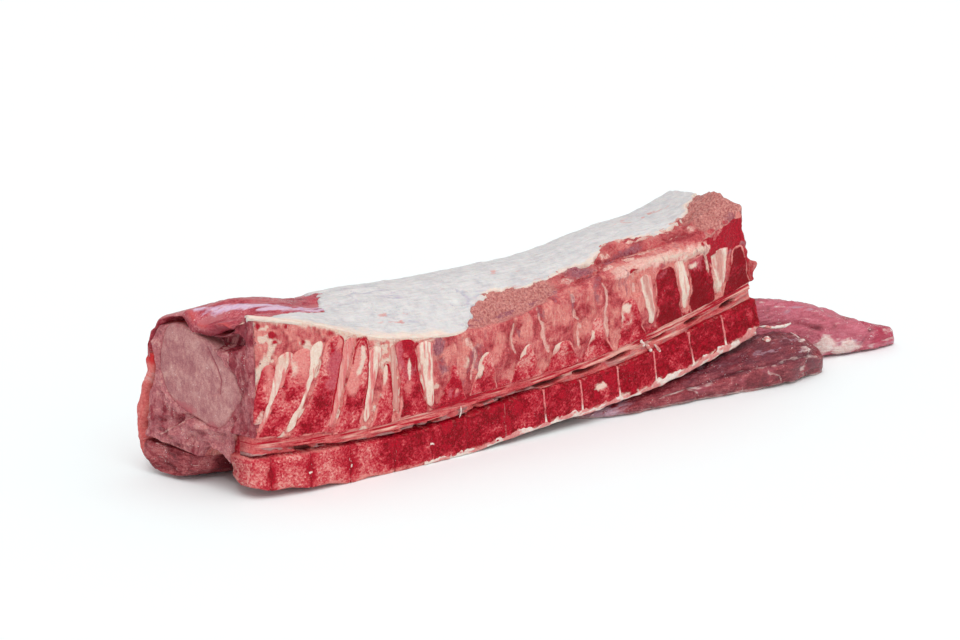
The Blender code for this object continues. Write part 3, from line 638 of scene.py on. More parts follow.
# pale seams between the bundles of muscle: how much further off each counts, then its corners
seams = (
    (0, (24.6, 9.3), (24.9, 7.8), (25.1, 6.0)), (0, (27.8, 9.5), (28.0, 8.0), (27.9, 5.6)),
    (0, (31.2, 9.4), (31.1, 7.0), (30.9, 5.0)), (0, (34.1, 9.2), (34.0, 8.0)),
    (0.1, (21.9, 8.8), (21.6, 7.4), (22.0, 6.6)), (0.03, (17.6, 8.6), (18.2, 7.6), (17.9, 5.6)),
)
archLine = ((38.7, 7.6), (38.8, 8.5), (39.5, 9.0), (40.6, 8.9), (41.6, 8.2), (41.9, 7.0), (41.8, 5.0))
ridgeLine = ((32.1, 9.7), (34.2, 9.75), (36.0, 9.75), (38.3, 9.3), (39.7, 9.2), (41.0, 8.8))


def septa(s, z):
    # Distance in cm from the seams, from the arch and from the ridge, all of them wavering
    s = s + 0.25 * noise(s, 0, z, 1.6, 13, 2)
    near = reduce(np.minimum, [toLine(s, z, *corners) + extra for extra, *corners in seams])
    near = near + 0.06 * noise(s, 0, z, 0.6, 14, 2)
    return near, toLine(s, z, *archLine), toLine(s, z, *ridgeLine) + 0.15 * noise(s, 0, z, 0.8, 15, 2)


# the bones' settings. A mark is a soft patch on a blade: place, height, half width, half height, strength
bones = {
    "across": 44, "behind": 7, "bodyRows": 34, "lastEnd": 45.2, "rowHeight": 0.1,
    "nearBodies": {"gap": -0.02, "waist": 0.17}, "farBodies": {"gap": 0.05, "waist": 0.03}, "firstFar": 8,
    "bodyDeep": (0, 0.1, 6, 0.12, 9, 0.4, 12, 0.85, 16, 1.0, 24, 0.9, 30, 0.85, 36, 0.9, 45, 1.05),
    "bladeDeep": (0, 0.42, 3, 0.55, 5, 0.42, 7, 0.38, 9.5, 0.34, 12, 0.72, 15, 0.82, 18, 0.44, 26, 0.46, 34,
                  0.6,
                  36.5, 1.0, 40, 1.2, 45, 1.3),
    "marks": {
        0: {"rim": ((1.3, 9.0, 0.7, 1.4, 0.8),), "cream": ((0.5, 5.8, 0.3, 0.7, 0.6),)},
        1: {"rim": ((3.6, 9.6, 0.9, 1.3, 0.95), (2.2, 7.4, 0.4, 0.9, 0.5)),
            "cream": ((3.1, 9.3, 0.35, 0.9, 0.65),)},
        2: {"mauve": ((6.1, 8.1, 0.9, 1.7, 1.2),), "rim": ((6.75, 10.4, 0.45, 0.6, 0.9),),
            "blood": ((5.95, 10.3, 0.33, 0.7, 1.0), (6.9, 9.4, 0.16, 1.2, 0.8))},
        3: {"rim": ((7.6, 7.4, 0.7, 1.7, 1.1), (8.0, 8.7, 0.5, 1.0, 0.8))},
        4: {"cream": ((10.4, 7.7, 0.22, 0.9, 1.0),), "rim": ((10.2, 6.6, 0.4, 0.9, 0.6),)},
        # on bone 5 the narrow cream streak is a painted highlight
        5: {"blood": ((12.3, 9.3, 0.5, 0.75, 1.2), (12.8, 8.2, 0.25, 0.8, 0.9)),
            "mauve": ((11.5, 8.3, 0.4, 1.2, 0.9), (12.2, 7.2, 0.6, 0.8, 0.7)),
            "cream": ((12.35, 7.3, 0.14, 0.8, 1.1),), "rim": ((12.2, 6.3, 0.5, 0.8, 0.55),)},
        6: {"mauve": ((16.3, 4.9, 0.5, 0.35, 1.0),), "rim": ((16.5, 5.0, 0.25, 0.2, 0.9),)},
        9: {"blood": ((27.0, 5.6, 0.35, 0.6, 0.9),)},
        11: {"cream": ((32.7, 7.1, 0.5, 0.34, 1.15), (33.0, 6.0, 0.28, 0.3, 1.0),
                       (32.2, 6.5, 0.2, 0.8, 0.7)),
             "rim": ((32.9, 6.2, 0.5, 1.0, 0.6),)},
        12: {"mauve": ((36.6, 8.5, 0.8, 0.4, 0.5),)},
        13: {"mauve": ((39.9, 8.3, 1.0, 0.7, 0.75),),
             "cream": ((39.6, 8.0, 0.5, 0.22, 0.9), (41.0, 7.6, 0.18, 0.8, 0.6))},
    },
}


def boneShape(spine):
    # Rings going up through body, neck and blade, with each point's depth inside the sawn face's rim.
    # A ring runs left to right along the face, then back behind it.
    near = spine < bones["firstFar"]
    shape = bones["nearBodies" if near else "farBodies"]
    u, v = np.linspace(-1, 1, bones["across"]), np.linspace(1, -1, bones["behind"])
    footLeft, footRight, tip = spines[spine][0], spines[spine][1], spines[spine][-1]
    roof = float(canalRoof(0.5 * (footLeft + footRight)))
    rings, rims = [], []

    def addRings(left, right, low, high, shares, front, back, lowRound, highRound):
        # One ring for each share of the height between low(s) and high(s); its rim dips
        for share, start, end, ahead, behind in zip(shares, left, right, front, back):
            middle, half = 0.5 * (start + end), 0.5 * (end - start)
            s = np.concatenate([middle + half * u, middle + half * v])
            z = low(s) + share * (high(s) - low(s))
            sideways = half * (1 - np.abs(u))
            upright = np.minimum(share * lowRound, (1 - share) * highRound)
            dip = 0.05 * decay(sideways, 0.06) + 0.1 * decay(upright, 0.07)
            face = slice(0, bones["across"])
            y = np.concatenate([ahead + dip + sawnRelief(s[face], z[face]), behind + 0 * v])
            rings.append(np.stack([s, y, z], -1))
            rims.append(np.concatenate([np.minimum(sideways, upright), 0 * v]))

    if spine > 0:
        left = discPlaces[spine - 2] + shape["gap"] if spine > 1 else 0.0
        right = discPlaces[spine - 1] - shape["gap"] if spine <= len(discPlaces) else bones["lastEnd"]
        middle, neck = 0.5 * (left + right), 0.28 * (right - left)
        shares = np.linspace(0, 1, bones["bodyRows"])
        narrow = 0.1 * (1 - fade(shares, 0.0, 0.12)) + shape["waist"] * bell(shares - 0.5, 0.2)
        depth = loin["chineDepth"] * (0.62 + 0.38 * fade(shares, 0, 0.4))
        addRings(left + narrow, right - narrow, chineBottom, canalFloor, shares, 0 * shares - 0.02, depth,
                 2.6, 2.6)
        starts = np.array([left + 0.05, middle - neck, middle - neck, footLeft + 0.2, footLeft + 0.2,
                           footLeft + 0.1])
        ends = np.array([right - 0.05, middle + neck, middle + neck, footRight - 0.2, footRight - 0.2,
                         footRight - 0.1])
        hollow = (0.35, 0.95, 0.98, 0.98, 0.95, 0.3)
        addRings(starts, ends, canalFloor, lambda s: roof + 0 * s, (0.02, 0.12, 0.3, 0.8, 0.96, 0.99),
                 hollow,
                 [loin["chineDepth"]] * 6, 9, 9)
    first = roof if spine else 5.5
    count = max(int((tip - first) / bones["rowHeight"]), 12)
    shares = np.concatenate([np.linspace(0, 0.97, count), [0.985, 0.995, 1.0]])
    left, right = spineEdges(spine, first + shares * (tip - first))
    back = loin["bladeDepth"] + 0.5 * np.maximum(0.3 - shares, 0)
    addRings(left, right, lambda s: first + 0 * s, lambda s: tip + 0 * s, shares, 0 * shares - 0.07, back,
             9, tip - first)
    return np.array(rings), np.array(rims), first, tip


def bonePiece(spine):
    # Half a vertebra: its shape, then where its marrow is deep red, pale at the rims, bloody or mauve; the
    # pale line along the bodies' top edge is a painted highlight
    rings, rim, first, tip = boneShape(spine)
    s, up = rings[..., 0], rings[..., 2]
    body = (up < canalFloor(s) + 0.05).astype(float)
    blade = 1 - body
    farBody = body * fade(s, 24, 34)
    cloud = noise(s, 0, up, 0.9, 21 + spine, 3)
    uneven = 0.05 * noise(s, 3, up, 0.5, 61 + spine, 2)
    low = up - chineBottom(s)
    near = 1 - fade(s, 13.5, 15)
    high = fade((up - first) / (tip - first), 0.35, 1.0)     # 1 towards the tip of the blade
    toDisc = np.min([np.abs(s - place) for place in discPlaces], axis=0)
    deep = body * keyed(s, *bones["bodyDeep"])
    deep += body * 0.3 * bell(toDisc, 0.7) * fade(14 - s, 0, 4)
    deep += blade * keyed(s, *bones["bladeDeep"])
    deep += (0.5 - 0.3 * body * fade(11 - s, 0, 4)) * cloud - blade * (1 - fade(s, 33, 36)) * 0.35 * high
    deep -= 0.5 * body * bell(low, 0.9) * hump(s, 13.0, 5.0)

    gone = fade(noise(s, 5, up, (0.8, 1, 0.5), 62 + spine, 2), -0.5, 0.4)
    ends = bell(rim + uneven, 0.15) * (0.05 + 0.4 * fade(s, 12, 24) * gone) * (0.8 + 0.5 * cloud)
    lowRim = (0.8 + 0.3 * cloud) * bell(low, 0.3 + 0.14 * cloud) * fade(s, 2, 8)
    # painted highlight: a thin pale line along the top edge of the bodies, fading out on the far ones
    paintedTopHighlight = 0.5 * bell(canalFloor(s) - up, 0.14) * (1 - farBody) * (0.4 + cloud)
    bladeRim = (0.5 + 0.6 * cloud) * bell(rim + uneven - 0.1 * near, 0.16)
    values = {"marrow": 1.0, "deep": deep, "mauve": 0 * s, "cream": 0 * s,
              "rim": body * most(ends, lowRim, paintedTopHighlight) + blade * bladeRim}
    if spine >= 7:
        values["rim"] = np.maximum(values["rim"], farBody * (0.75 + 0.3 * cloud) * bell(low, 0.34))
        corner = 0.35 + 0.65 * bell(rim, 0.35)
        values["cream"] = farBody * (0.95 + 0.8 * cloud) * bell(low, 0.42) * corner
    spots = most(0 * s, *[patch(s, up, disc, 1.75, 0.42, 0.95, 90 + spine) for disc in discPlaces[:7]])
    values["blood"] = body * np.maximum(fade(cloud, 0.2, 0.7) * fade(s, 9, 14) * 0.8, 1.1 * spots)
    left, right = spineEdges(spine, up)
    line = bell(right - s - 0.1 + uneven, 0.12) * near * (0.85 + 0.6 * cloud) * fade(up, 4.9, 5.6)
    values["blood"] = values["blood"] + blade * line * (1 if spine > 1 else 0.3)

    # what only some of the bones have
    if spine == 0:
        values["rim"] = values["rim"] * 0.3
    if spine == 3:
        around = bell(rim - 0.1 + uneven, 0.1) * fade(up, 8.2, 9.0)
        values["blood"] = np.maximum(values["blood"], 0.8 * blade * around)
        stripe = toLine(s + 0.1 * cloud, up, (8.1, 8.0), (8.45, 8.9), (8.5, 9.7))
        values["cream"] = blade * 0.95 * bell(stripe, 0.24)
    if spine == 6:
        values["blood"] = np.maximum(values["blood"], blade * 0.75 * fade(cloud, -0.2, 0.3))
    marks = dict(bones["marks"].get(spine, {}))
    if 7 <= spine <= 10:
        edge = 0.5 + 0.7 * cloud - (s - left)
        values["cream"] = blade * 0.85 * fade(edge, 0, 0.5) * fade(up, 5.0, 6.2)
        marks["rim"] = ((left.max() + 0.9, 5.6, 0.6, 0.9, 0.45),)
    if spine == 10:
        chip = patch(s, up, 29.8, 1.6, 0.55, 0.26, 83)
        values["cream"] = np.maximum(values["cream"], body * chip * 1.2)
    for label, places in marks.items():
        for number, (place, height, wide, tall, strength) in enumerate(places):
            mark = blade * strength * patch(s, up, place, height, wide, tall, 70 + spine + 20 * number)
            values[label] = np.maximum(values[label], mark)
    node = f"vertebra_{spine:02d}" if spine else "spine_00"
    ringPiece(f"bone{spine:02d}", toScene(rings), values, paint["bone"], "bone", node)


def discPiece(number):
    # A lens of gristle and blood between two bodies, as rings going up
    settings = {"across": 14, "rows": 36, "firstFlat": 7, "edge": 0.07, "thick": 0.3, "thin": 0.16}
    across, near = settings["across"], number < settings["firstFlat"]
    u = np.linspace(-1, 1, across)
    shares = np.linspace(0, 1, settings["rows"])[:, None]
    lens = bell(shares - 0.5, 0.2) if near else 0.5 + 0.5 * bell(shares, 0.16)
    wide = settings["edge"] + settings["thick" if near else "thin"] * lens
    wobble = 0.05 * noise(0, 0, shares, 0.3, 32 + number)
    s = discPlaces[number] + wide * np.concatenate([u, u[::-1]]) + wobble
    low, high = chineBottom(s) + 0.08, canalFloor(s) - 0.04
    z = low + shares * (high - low)
    rounded = 0.1 * np.abs(u) ** 3
    front = sawnRelief(s, z) + 0.01 + np.concatenate([rounded, rounded])
    back = np.full((settings["rows"], across), 0.9 * loin["chineDepth"])
    y = np.concatenate([front[:, :across], back], axis=1)
    speck = fade(noise(s, y, z, 0.2, 33, 1), 0.3, 0.6)
    far = fade(s, 16, 26)
    values = {"cream": np.maximum(0.9 * speck * (1 - far) * hump(shares, 0.5, 0.2),
                                  far * 0.9 * bell(shares, 0.3)),
              "pale": far * (0.8 + 0.5 * noise(s, 0, z, 0.5, 34, 2))
                      + (1 - far) * 0.3 * (1 - hump(shares, 0.5, 0.3))}
    ringPiece(f"disc{number + 1:02d}", toScene(np.stack([s, y, z], -1)), values, paint["disc"], "disc",
              f"disc_{number + 1:02d}")


def ligamentPiece(number):
    # A pale band lying between two bones, as rings going up; it stands a little proud
    settings = {"across": 16, "rows": 60, "back": 0.4, "proud": 0.035, "bulge": 0.05,
                "pink": (0.35, 0.0, 0.6, 0.3, 0.3, 0.1, 0.0, 0.0, 0.1)}
    row, across = ligaments[number], settings["across"]
    u = np.linspace(-1, 1, across)
    around = np.concatenate([u, u[::-1]])
    shares = np.concatenate([[0, 0.01, 0.03], np.linspace(0.06, 0.94, settings["rows"]),
                             [0.97, 0.99, 1.0]])[:, None]
    height = row[3] + shares * (row[6] - row[3])
    left, right = ligamentEdges(row, height)
    taper = np.sqrt(np.clip(np.minimum(shares, 1 - shares) / 0.05, 0.04, 1))
    middle, half = 0.5 * (left + right), 0.5 * (right - left) * taper
    s = middle + 0.05 * noise(height, 0, number * 4.0, 0.8, 41, 2) + half * around
    z = np.broadcast_to(height, s.shape)
    proud = (sawnRelief(s, z) - settings["bulge"] * taper * (1 - np.concatenate([u, u]) ** 2)
             - settings["proud"])
    back = np.full((len(shares), across), settings["back"])
    y = np.concatenate([proud[:, :across] + 0.03 * np.abs(u) ** 8, back], axis=1)
    streak = noise(s, y, z, (0.16, 1, 1.6), 42 + number, 2)
    share = around * 0.5 + 0.5
    outer = fade(np.abs(2 * share - 1) + 0.4 * streak, 0.45, 1.0)
    core = hump(share + 0.12 * streak, 0.5, 0.32) * fade(shares, 0.05, 0.3)
    values = {"pink": np.maximum(fade(streak, -0.1, 0.6) * 0.6 + settings["pink"][number], 0.75 * outer),
              "grey": (0.85 if number in (6, 8) else 0.0) * core + (0.6 if number == 4 else 0.0)}
    ringPiece(f"ligament{number + 1:02d}", toScene(np.stack([s, y, z], -1)), values, paint["ligament"],
              "ligament",
              f"ligament_{number + 1:02d}")


stepLength = 1.46     # cm along the section in one step of the outline


def fatBorder(s):
    # Border of the fat next to the sawn face, in outline steps
    return keyed(s, 0, 0.1, 12, 0.0, 17.3, 0.0, 18.3, 0.35, 19.4, 1.0, 22.5, 1.2, 26, 1.1, 29, 1.4, 32, 1.15,
                 34, 1.6, 38, 1.35, 42, 1.55, 44, 2.2, 45.4, 2.7)


def coverDepth(s, step):
    # How deep the meat lies under the fat, the top muscle and the flank's muscle: 0.3 under fat alone,
    # more under the top muscle near the cut end, 0.95 on the side
    nearCut = np.clip(1 - s / 9.0, 0, 1)
    bulge = np.clip((step - 0.8) / 0.8, 0, 1) * np.clip((5.6 - step) / 1.6, 0.25, 1)
    overEye = fade(step, 3.3, 4.1) * fade(1.6 - s, 0, 1.2)
    top = 0.3 + 0.75 * nearCut * bulge * (1 - 0.85 * overEye)
    toSide = np.clip((step - loin["sideTop"] + 0.3) / 1.0, 0, 1)
    return (top + (0.95 - top) * toSide) * fade(step - fatBorder(s), 0.05, 0.5)


def coreLoop(s, faceCount, stripCount):
    # The section at each s, once round: top, side, hollow, ceiling of the canal, sawn face
    s = np.asarray(s, float)
    far = s[:, None]
    soft = fade(far, 16, 20)
    corner = 0.06 + soft * (0.42 + 0.2 * noise(far, 0, 0, 2.0, 53, 2))     # radius of the sawn top edge
    start = corner / stepLength
    border = np.maximum(fatBorder(s)[:, None] + 0.5, start + 0.1)
    strip = start + (border - start) * np.linspace(0, 1, stripCount, endpoint=False)
    cover = border + (loin["sideBottom"] - border) * np.linspace(0, 1, 18)
    over = np.concatenate([strip, cover], axis=1)
    top = skin(s, over, coverDepth(far, over) + topRelief(far, over) * fade(over - start, 0.0, 0.25))
    under = skin(s, np.linspace(loin["flapInner"], 16, 14))
    under[..., 2] += 0.06 * noise(under[..., 0], under[..., 1], 0, 0.7, 52, 3)
    roof = canalRoof(s)[:, None]
    depth = np.linspace(loin["chineDepth"] + 0.08, 0.05, 8)[None, :]
    ceiling = np.stack([far + 0 * depth, depth + 0 * far, roof + 0.05 + 0 * depth], -1)
    share = np.linspace(0, 1, faceCount, endpoint=False)[None, :]
    highest = top[:, :1, 2]
    z = roof + 0.02 + share * (highest - roof - 0.02)
    s = far + 0 * z
    bone, tendon = insideInlays(s, z)
    y = sawnRelief(far, z) + 0.3 * fade(bone, 0.1, 0.35) + 0.3 * fade(tendon, 0.1, 0.3)
    seam, arch, ridge = septa(s, z)
    y += soft * (0.05 * bell(seam, 0.12)) - 0.2 * bell(arch, 0.28) - 0.18 * bell(ridge, 0.35)
    y += 0.2 * hump(far, 15.1, 0.3) * hump(z, 7.55, 0.3)
    across = np.clip((z - highest + 1.4 * corner) / (1.4 * corner), 0, 0.995)
    y += top[:, :1, 1] * (1 - np.sqrt(1 - across**2))
    return np.concatenate([top, under, ceiling, np.stack([s, y, z], -1)], axis=1)


def topRelief(s, step):
    # Torn surface where the fat has been pulled off: coarse fibres, folds and two crevices; positive is
    # deeper
    y = stepLength * step
    coarse = 0.1 * noise(s, y, 0, 0.4, 61, 3) + 0.06 * noise(s, y, 0, (0.9, 0.2, 1), 62, 2)
    folds = 0.26 * noise(s, y, 0, (2.8, 0.8, 1), 63, 2) * fade(s, 27, 31)
    crevice = 0.4 * bell(toLine(s, y, (33.0, 1.6), (34.4, 1.5), (36.3, 1.0), (37.2, 0.9)), 0.16)
    crevice += 0.3 * bell(toLine(s, y, (29.5, 1.0), (31.0, 0.9), (32.2, 1.3)), 0.14)
    return fade(s, 17.5, 20) * (coarse + folds + crevice)


# the cut meat's settings. A spot is a soft patch: place, height, half width, half height
meat = {
    "spacing": 0.105, "face": 86, "strip": 34, "endRings": 26, "middle": (4.5, 7.0),
    # paintedSheen: pale spots that stand in for sheen on the lean
    "paintedSheen": ((20.4, 8.0, 0.7, 0.7), (22.9, 8.3, 0.6, 0.9), (26.4, 8.5, 0.7, 0.5), (29.6, 8.4, 0.6, 0.8),
               (23.2, 6.6, 0.4, 0.8), (32.6, 8.6, 0.6, 0.5)),
    "cream": ((4.4, 9.9, 0.4, 0.7), (7.3, 10.6, 0.5, 0.5), (9.7, 9.2, 0.4, 0.9), (13.9, 8.2, 0.5, 1.4),
              (17.6, 7.0, 0.3, 0.7)),
    "blood": ((1.5, 11.7, 0.3, 0.3), (1.75, 11.2, 0.3, 0.22), (3.9, 10.9, 0.22, 0.25),
              (2.6, 12.3, 0.16, 0.24),
              (0.6, 12.5, 0.22, 0.3), (5.9, 11.2, 0.4, 0.3), (8.5, 10.3, 0.6, 0.2), (12.2, 9.0, 0.8, 0.8),
              (34.0, 9.6, 0.5, 0.12)),
    "creamBand": ((0.3, 8.6), (1.0, 9.7), (1.9, 11.2)),
    "crevice": ((33.0, 1.6), (34.4, 1.5), (36.3, 1.0), (38.2, 0.8)),
    "deep": (0, 0.4, 8, 0.45, 14, 0.85, 20, 0.5, 34, 0.6, 40, 0.8, 45.4, 1.0),
}


def meatValues(s, y, z):
    # Where the cut meat is pale, cream, scraped, purple, blood red or marrow
    bone, tendon = insideInlays(s, z)
    edge = edgeHeight(s)
    below = edge - z
    onFace = fade(edge + 0.3 - z, 0.0, 0.25) * fade(2.0 - y, 0, 0.3)
    seam, arch, ridge = septa(s, z)
    left = 1 - fade(s, 13.8, 16.5)
    streak = noise(s, 0, z, (0.35, 1, 2.0), 71, 2)
    mottle = noise(s, 0, z, (0.9, 1, 0.7), 76, 3)
    patchy = noise(s, 0, z, (1.2, 1, 2), 72, 3)
    torn = 0.5 * noise(s, 0, z, 0.7, 79, 3)

    def spots(places, seed):
        return most(*[patch(s, z, *place, seed) for place in places])

    # the sawn face: lean paler in patches, some of them painted sheen; seams, fat and blood at the cut end
    values = {}
    softly = 0.75 * fade(patchy, -0.1, 0.6) + 0.7 * spots(meat["paintedSheen"], 66)
    values["pale"] = onFace * (left * (0.6 + 0.5 * mottle) + (1 - left) * (0.1 + softly))
    broken = fade(noise(s, 0, z, 0.7, 78, 2), -0.9, -0.1)
    values["seam"] = onFace * broken * 1.15 * bell(seam + 0.05 * streak, 0.15) * fade(s, 16, 18)
    lines = bell(np.minimum(arch, ridge) + 0.1 * streak, 0.42)
    values["seam"] = np.maximum(values["seam"], onFace * 1.15 * lines * fade(s, 31, 33))
    lines = 0.9 * bell(arch + 0.06 * streak - 0.12, 0.13) * broken
    lines = np.maximum(lines, 0.75 * bell(ridge, 0.2) * broken * fade(s, 34.5, 36))
    topBand = left * bell(np.maximum(below, 0), 0.35 + 0.2 * streak)
    flecks = left * 0.9 * fade(mottle + 0.4 * streak, 0.2, 0.7)
    band = bell(toLine(s + 0.2 * streak, z, *meat["creamBand"]), 0.34 + 0.1 * mottle)
    creamy = onFace * most(lines, topBand, band, spots(meat["cream"], 60), flecks)
    halo = bell(np.maximum(bone, tendon) + 0.09, 0.08)
    bloody = onFace * 0.6 * halo * fade(noise(s, 0, z, 0.9, 73, 2), -0.1, 0.5) * (0.4 + 0.6 * left)
    bloody = np.maximum(bloody, onFace * spots(meat["blood"], 62) * (1 + 0.5 * streak))
    bloody = np.maximum(bloody, onFace * hump(s, 44.3, 1.6) * fade(8.3 - z, 0, 1.5) * 0.9)

    # the far end: coarse torn meat above, deep red below it, then a mauve part
    coarse = onFace * 1.1 * fade(s + torn, 40.9, 42.0) * fade(0.55 + torn - below, 0, 0.3)
    upper = fade(s + torn, 40.7, 41.6) * fade(below + torn, 0.5, 0.8) * fade(3.0 + torn - below, 0, 0.8)
    bloody = np.maximum(bloody, onFace * 1.3 * upper)
    bruise = np.maximum(patch(s, z, 15.0, 8.3, 0.45, 1.0, 64), 0.8 * patch(s, z, 15.4, 6.9, 0.5, 0.6, 65))
    mauve = 0.5 * fade(noise(s, 0, z, (0.8, 1, 1.6), 74, 2), 0.1, 0.7) * hump(s, 18.0, 1.6)
    brownish = (0.5 * fade(noise(s, 0, z, (0.6, 1, 1.4), 80, 3), 0.2, 0.7) * fade(s, 19, 21)
                * fade(z, 6.5, 8.5))
    mauveEnd = 0.75 * fade(s + torn, 41.5, 43.0) * fade(below, 1.6, 2.6) * fade(z, 6.8, 7.6)

    # the torn top: scraped meat, dark silverskin, wisps of membrane and a crevice
    onTop = (1 - onFace) * fade(s, 17.3, 18.3)
    ragged = 0.5 * noise(s, y, 0, 0.8, 75, 3)
    fleck = noise(s, y, 0, (1.0, 0.3, 1), 77, 3)
    values["scraped"] = onTop * (0.35 + 0.9 * fade(27.5 - s, 0, 1.5) + 0.8 * fade(s, 41, 42.5)) + coarse
    darkTop = hump(s, 30.2, 1.6) * fade(y + ragged, 0.4, 0.8)
    darkEdge = fade(s, 32, 33) * fade(y + ragged, 0.9, 1.4) * fade(37.5 - s, 0, 2) * fade(2.3 - y, 0, 0.8)
    lip = hump(y, 0.45, 0.3) * fade(27.5 - s, 0, 1) * fade(fleck, -0.2, 0.5)
    darkTop = np.maximum(darkTop, darkEdge)
    values["purple"] = np.maximum(onFace * most(bruise, mauve, mauveEnd, brownish),
                                  onTop * np.maximum(0.8 * darkTop, 0.8 * lip))
    strip = (fade(s, 27, 29) * fade(0.6 + ragged - np.abs(y - 0.7 + 0.05 * (s - 36)), 0, 0.5)
             * fade(42.5 - s, 0, 2))
    nearFat = decay(stepLength * fatBorder(s) - y + ragged, 0.35) * fade(s, 26, 30)
    membrane = onTop * fade(fleck + 0.2, 0, 0.6) * np.maximum(0.9 * strip, 0.9 * nearFat)
    values["cream"] = np.maximum(creamy, 0.45 * membrane)
    values["seam"] = np.maximum(values["seam"], membrane)
    values["blood"] = np.maximum(bloody, onTop * 0.9 * bell(toLine(s, y, *meat["crevice"]), 0.22))
    values["marrow"] = onFace * 1.15 * bell(z - canalRoof(s), 0.5 + 0.2 * streak) * fade(z, 3, 3.6)
    values["deep"] = keyed(s, *meat["deep"])
    return values


def loinMeat():
    # The loin's core: sections along it, a blind start behind the cut end, and a torn far end with a spur
    length, endRings = loin["length"], meat["endRings"]
    s = np.linspace(0.35, length, int((length - 0.5) / meat["spacing"]))
    rings = coreLoop(s, meat["face"], meat["strip"])
    edge = decay(length - s, 0.12)[:, None, None]
    middle = np.array([0, *meat["middle"]])
    rings = rings + (middle - rings) * np.array([0, 0.02, 0.02]) * edge
    last = rings[-1:]
    centre = np.array([length, *meat["middle"]])
    end = centre + (last - centre) * np.linspace(0.96, 0.06, endRings)[:, None, None]
    start = np.array([middle + (rings[0] - middle) * share for share in (0.1, 0.4, 0.7, 0.9, 0.96)])
    start[..., 0] = np.array([2.4, 2.4, 2.4, 2.3, 1.2])[:, None]
    rings = np.concatenate([start, rings, end])
    rough = noise(45, rings[..., 1], rings[..., 2], 1.6, 81, 4)
    far = fade(rings[..., 0], 43.8, length)
    spur = 0.75 * hump(rings[..., 2], 5.1, 0.45) * np.exp(-rings[..., 1] / 0.5)
    rings[..., 0] += far * (0.28 * rough + spur - 0.1)
    values = meatValues(*np.moveaxis(rings, -1, 0))
    atEnd = np.zeros(rings.shape[:2])
    atEnd[-endRings:] = 1
    for label in ("scraped", "purple", "pale", "cream", "seam"):
        values[label] = values[label] * (1 - atEnd)
    values["blood"] = np.maximum(values["blood"], atEnd * fade(rough, 0.1, 0.6) * 0.6)
    ringPiece("loinMeat", toScene(rings), values, paint["meat"], "loin_meat", "loin_meat")


# the eye muscle: its middle, and its radius every 30 degrees
eye = {"centre": (4.6, 7.9), "radii": (3.2, 3.55, 4.15, 3.2, 3.0, 2.95, 3.55, 3.65, 3.8, 2.95, 2.85, 3.1),
       "columns": 200, "endRings": 56, "crease": ((3.6, 10.3), (2.9, 9.2), (2.5, 8.2), (2.6, 7.2)),
       "sink": (0, 0, 5, 0.5, 45.4, 1.2), "size": (0, 1.0, 5, 0.92, 30, 0.9, 45.4, 0.8)}


def eyeRadius(turn):
    # Smooth closed curve through the radii
    radii = np.array(eye["radii"])
    places = np.arange(-2, len(radii) + 3)
    pairs = np.column_stack([places, radii[places % len(radii)]]).ravel()
    return keyed((turn / (2 * np.pi)) % 1 * len(radii), *pairs)


def insideEye(y, z):
    # Distance inside the eye's border, below 0 outside
    dy, dz = y - eye["centre"][0], z - eye["centre"][1]
    return eyeRadius(np.arctan2(dz, dy)) - np.hypot(dy, dz)


# the cut end: lines across it as (y, z) corners
cut = {
    "columns": 380, "rings": 86, "rimPlaces": (1.0, 0.6, 0.35, 0.2, 0.1),
    "seam": ((2.0, 9.6), (1.3, 8.6), (0.95, 7.6), (1.2, 6.2), (1.6, 5.0)),
    "fold": ((8.2, 9.9), (8.5, 8.6), (8.5, 7.0), (8.3, 5.6), (8.5, 4.0), (8.6, 2.5)),
    "groove": ((8.4, 10.9), (8.85, 9.6), (9.1, 8.0), (9.0, 5.4), (9.1, 3.5)),
    "strap": ((8.15, 2.4), (6.6, 3.2), (5.2, 4.3), (4.4, 4.5)),
    "underStrap": ((6.6, 4.4), (5.4, 5.0), (4.3, 5.1)),
    "blob": ((2.9, 11.0), (2.8, 10.2)), "tendon": ((9.0, 8.4), (9.1, 7.2)),
    "sheath": ((9.0, 9.8), (9.15, 7.2), (9.05, 5.0), (8.95, 2.6)),
    "belt": ((7.8, 3.2), (6.7, 3.9), (5.4, 4.9)),
}


def endRelief(y, z):
    # Depth of the cut end round the eye muscle: a hollow under the top lip, seams and folds
    hollow = np.maximum(0, 1 - np.hypot((y - 2.6) / 2.2, (z - 11.3) / 1.0) ** 2)
    rough = 0.06 * noise(0, y, z, 0.5, 91, 3) + 0.04 * noise(0, y, z, 0.16, 92, 2)
    columns = 0.16 * noise(0, y, z, (1, 0.25, 1.3), 93, 3) * fade(1.9 - y, 0, 0.4)
    lower = 0.25 * noise(0, y, z, (1, 1.3, 0.5), 94, 3) * fade(5.4 - z, 0, 1)
    depth = 1.5 * hollow ** 0.6 + rough + columns
    for line, deep, width in (("seam", 0.3, 0.14), ("fold", -0.3, 0.3), ("groove", 0.35, 0.14),
                              ("strap", -0.45, 0.36), ("underStrap", 0.3, 0.25)):
        depth = depth + deep * bell(toLine(y, z, *cut[line]), width)
        if line == "seam":
            depth = depth + lower
    return depth


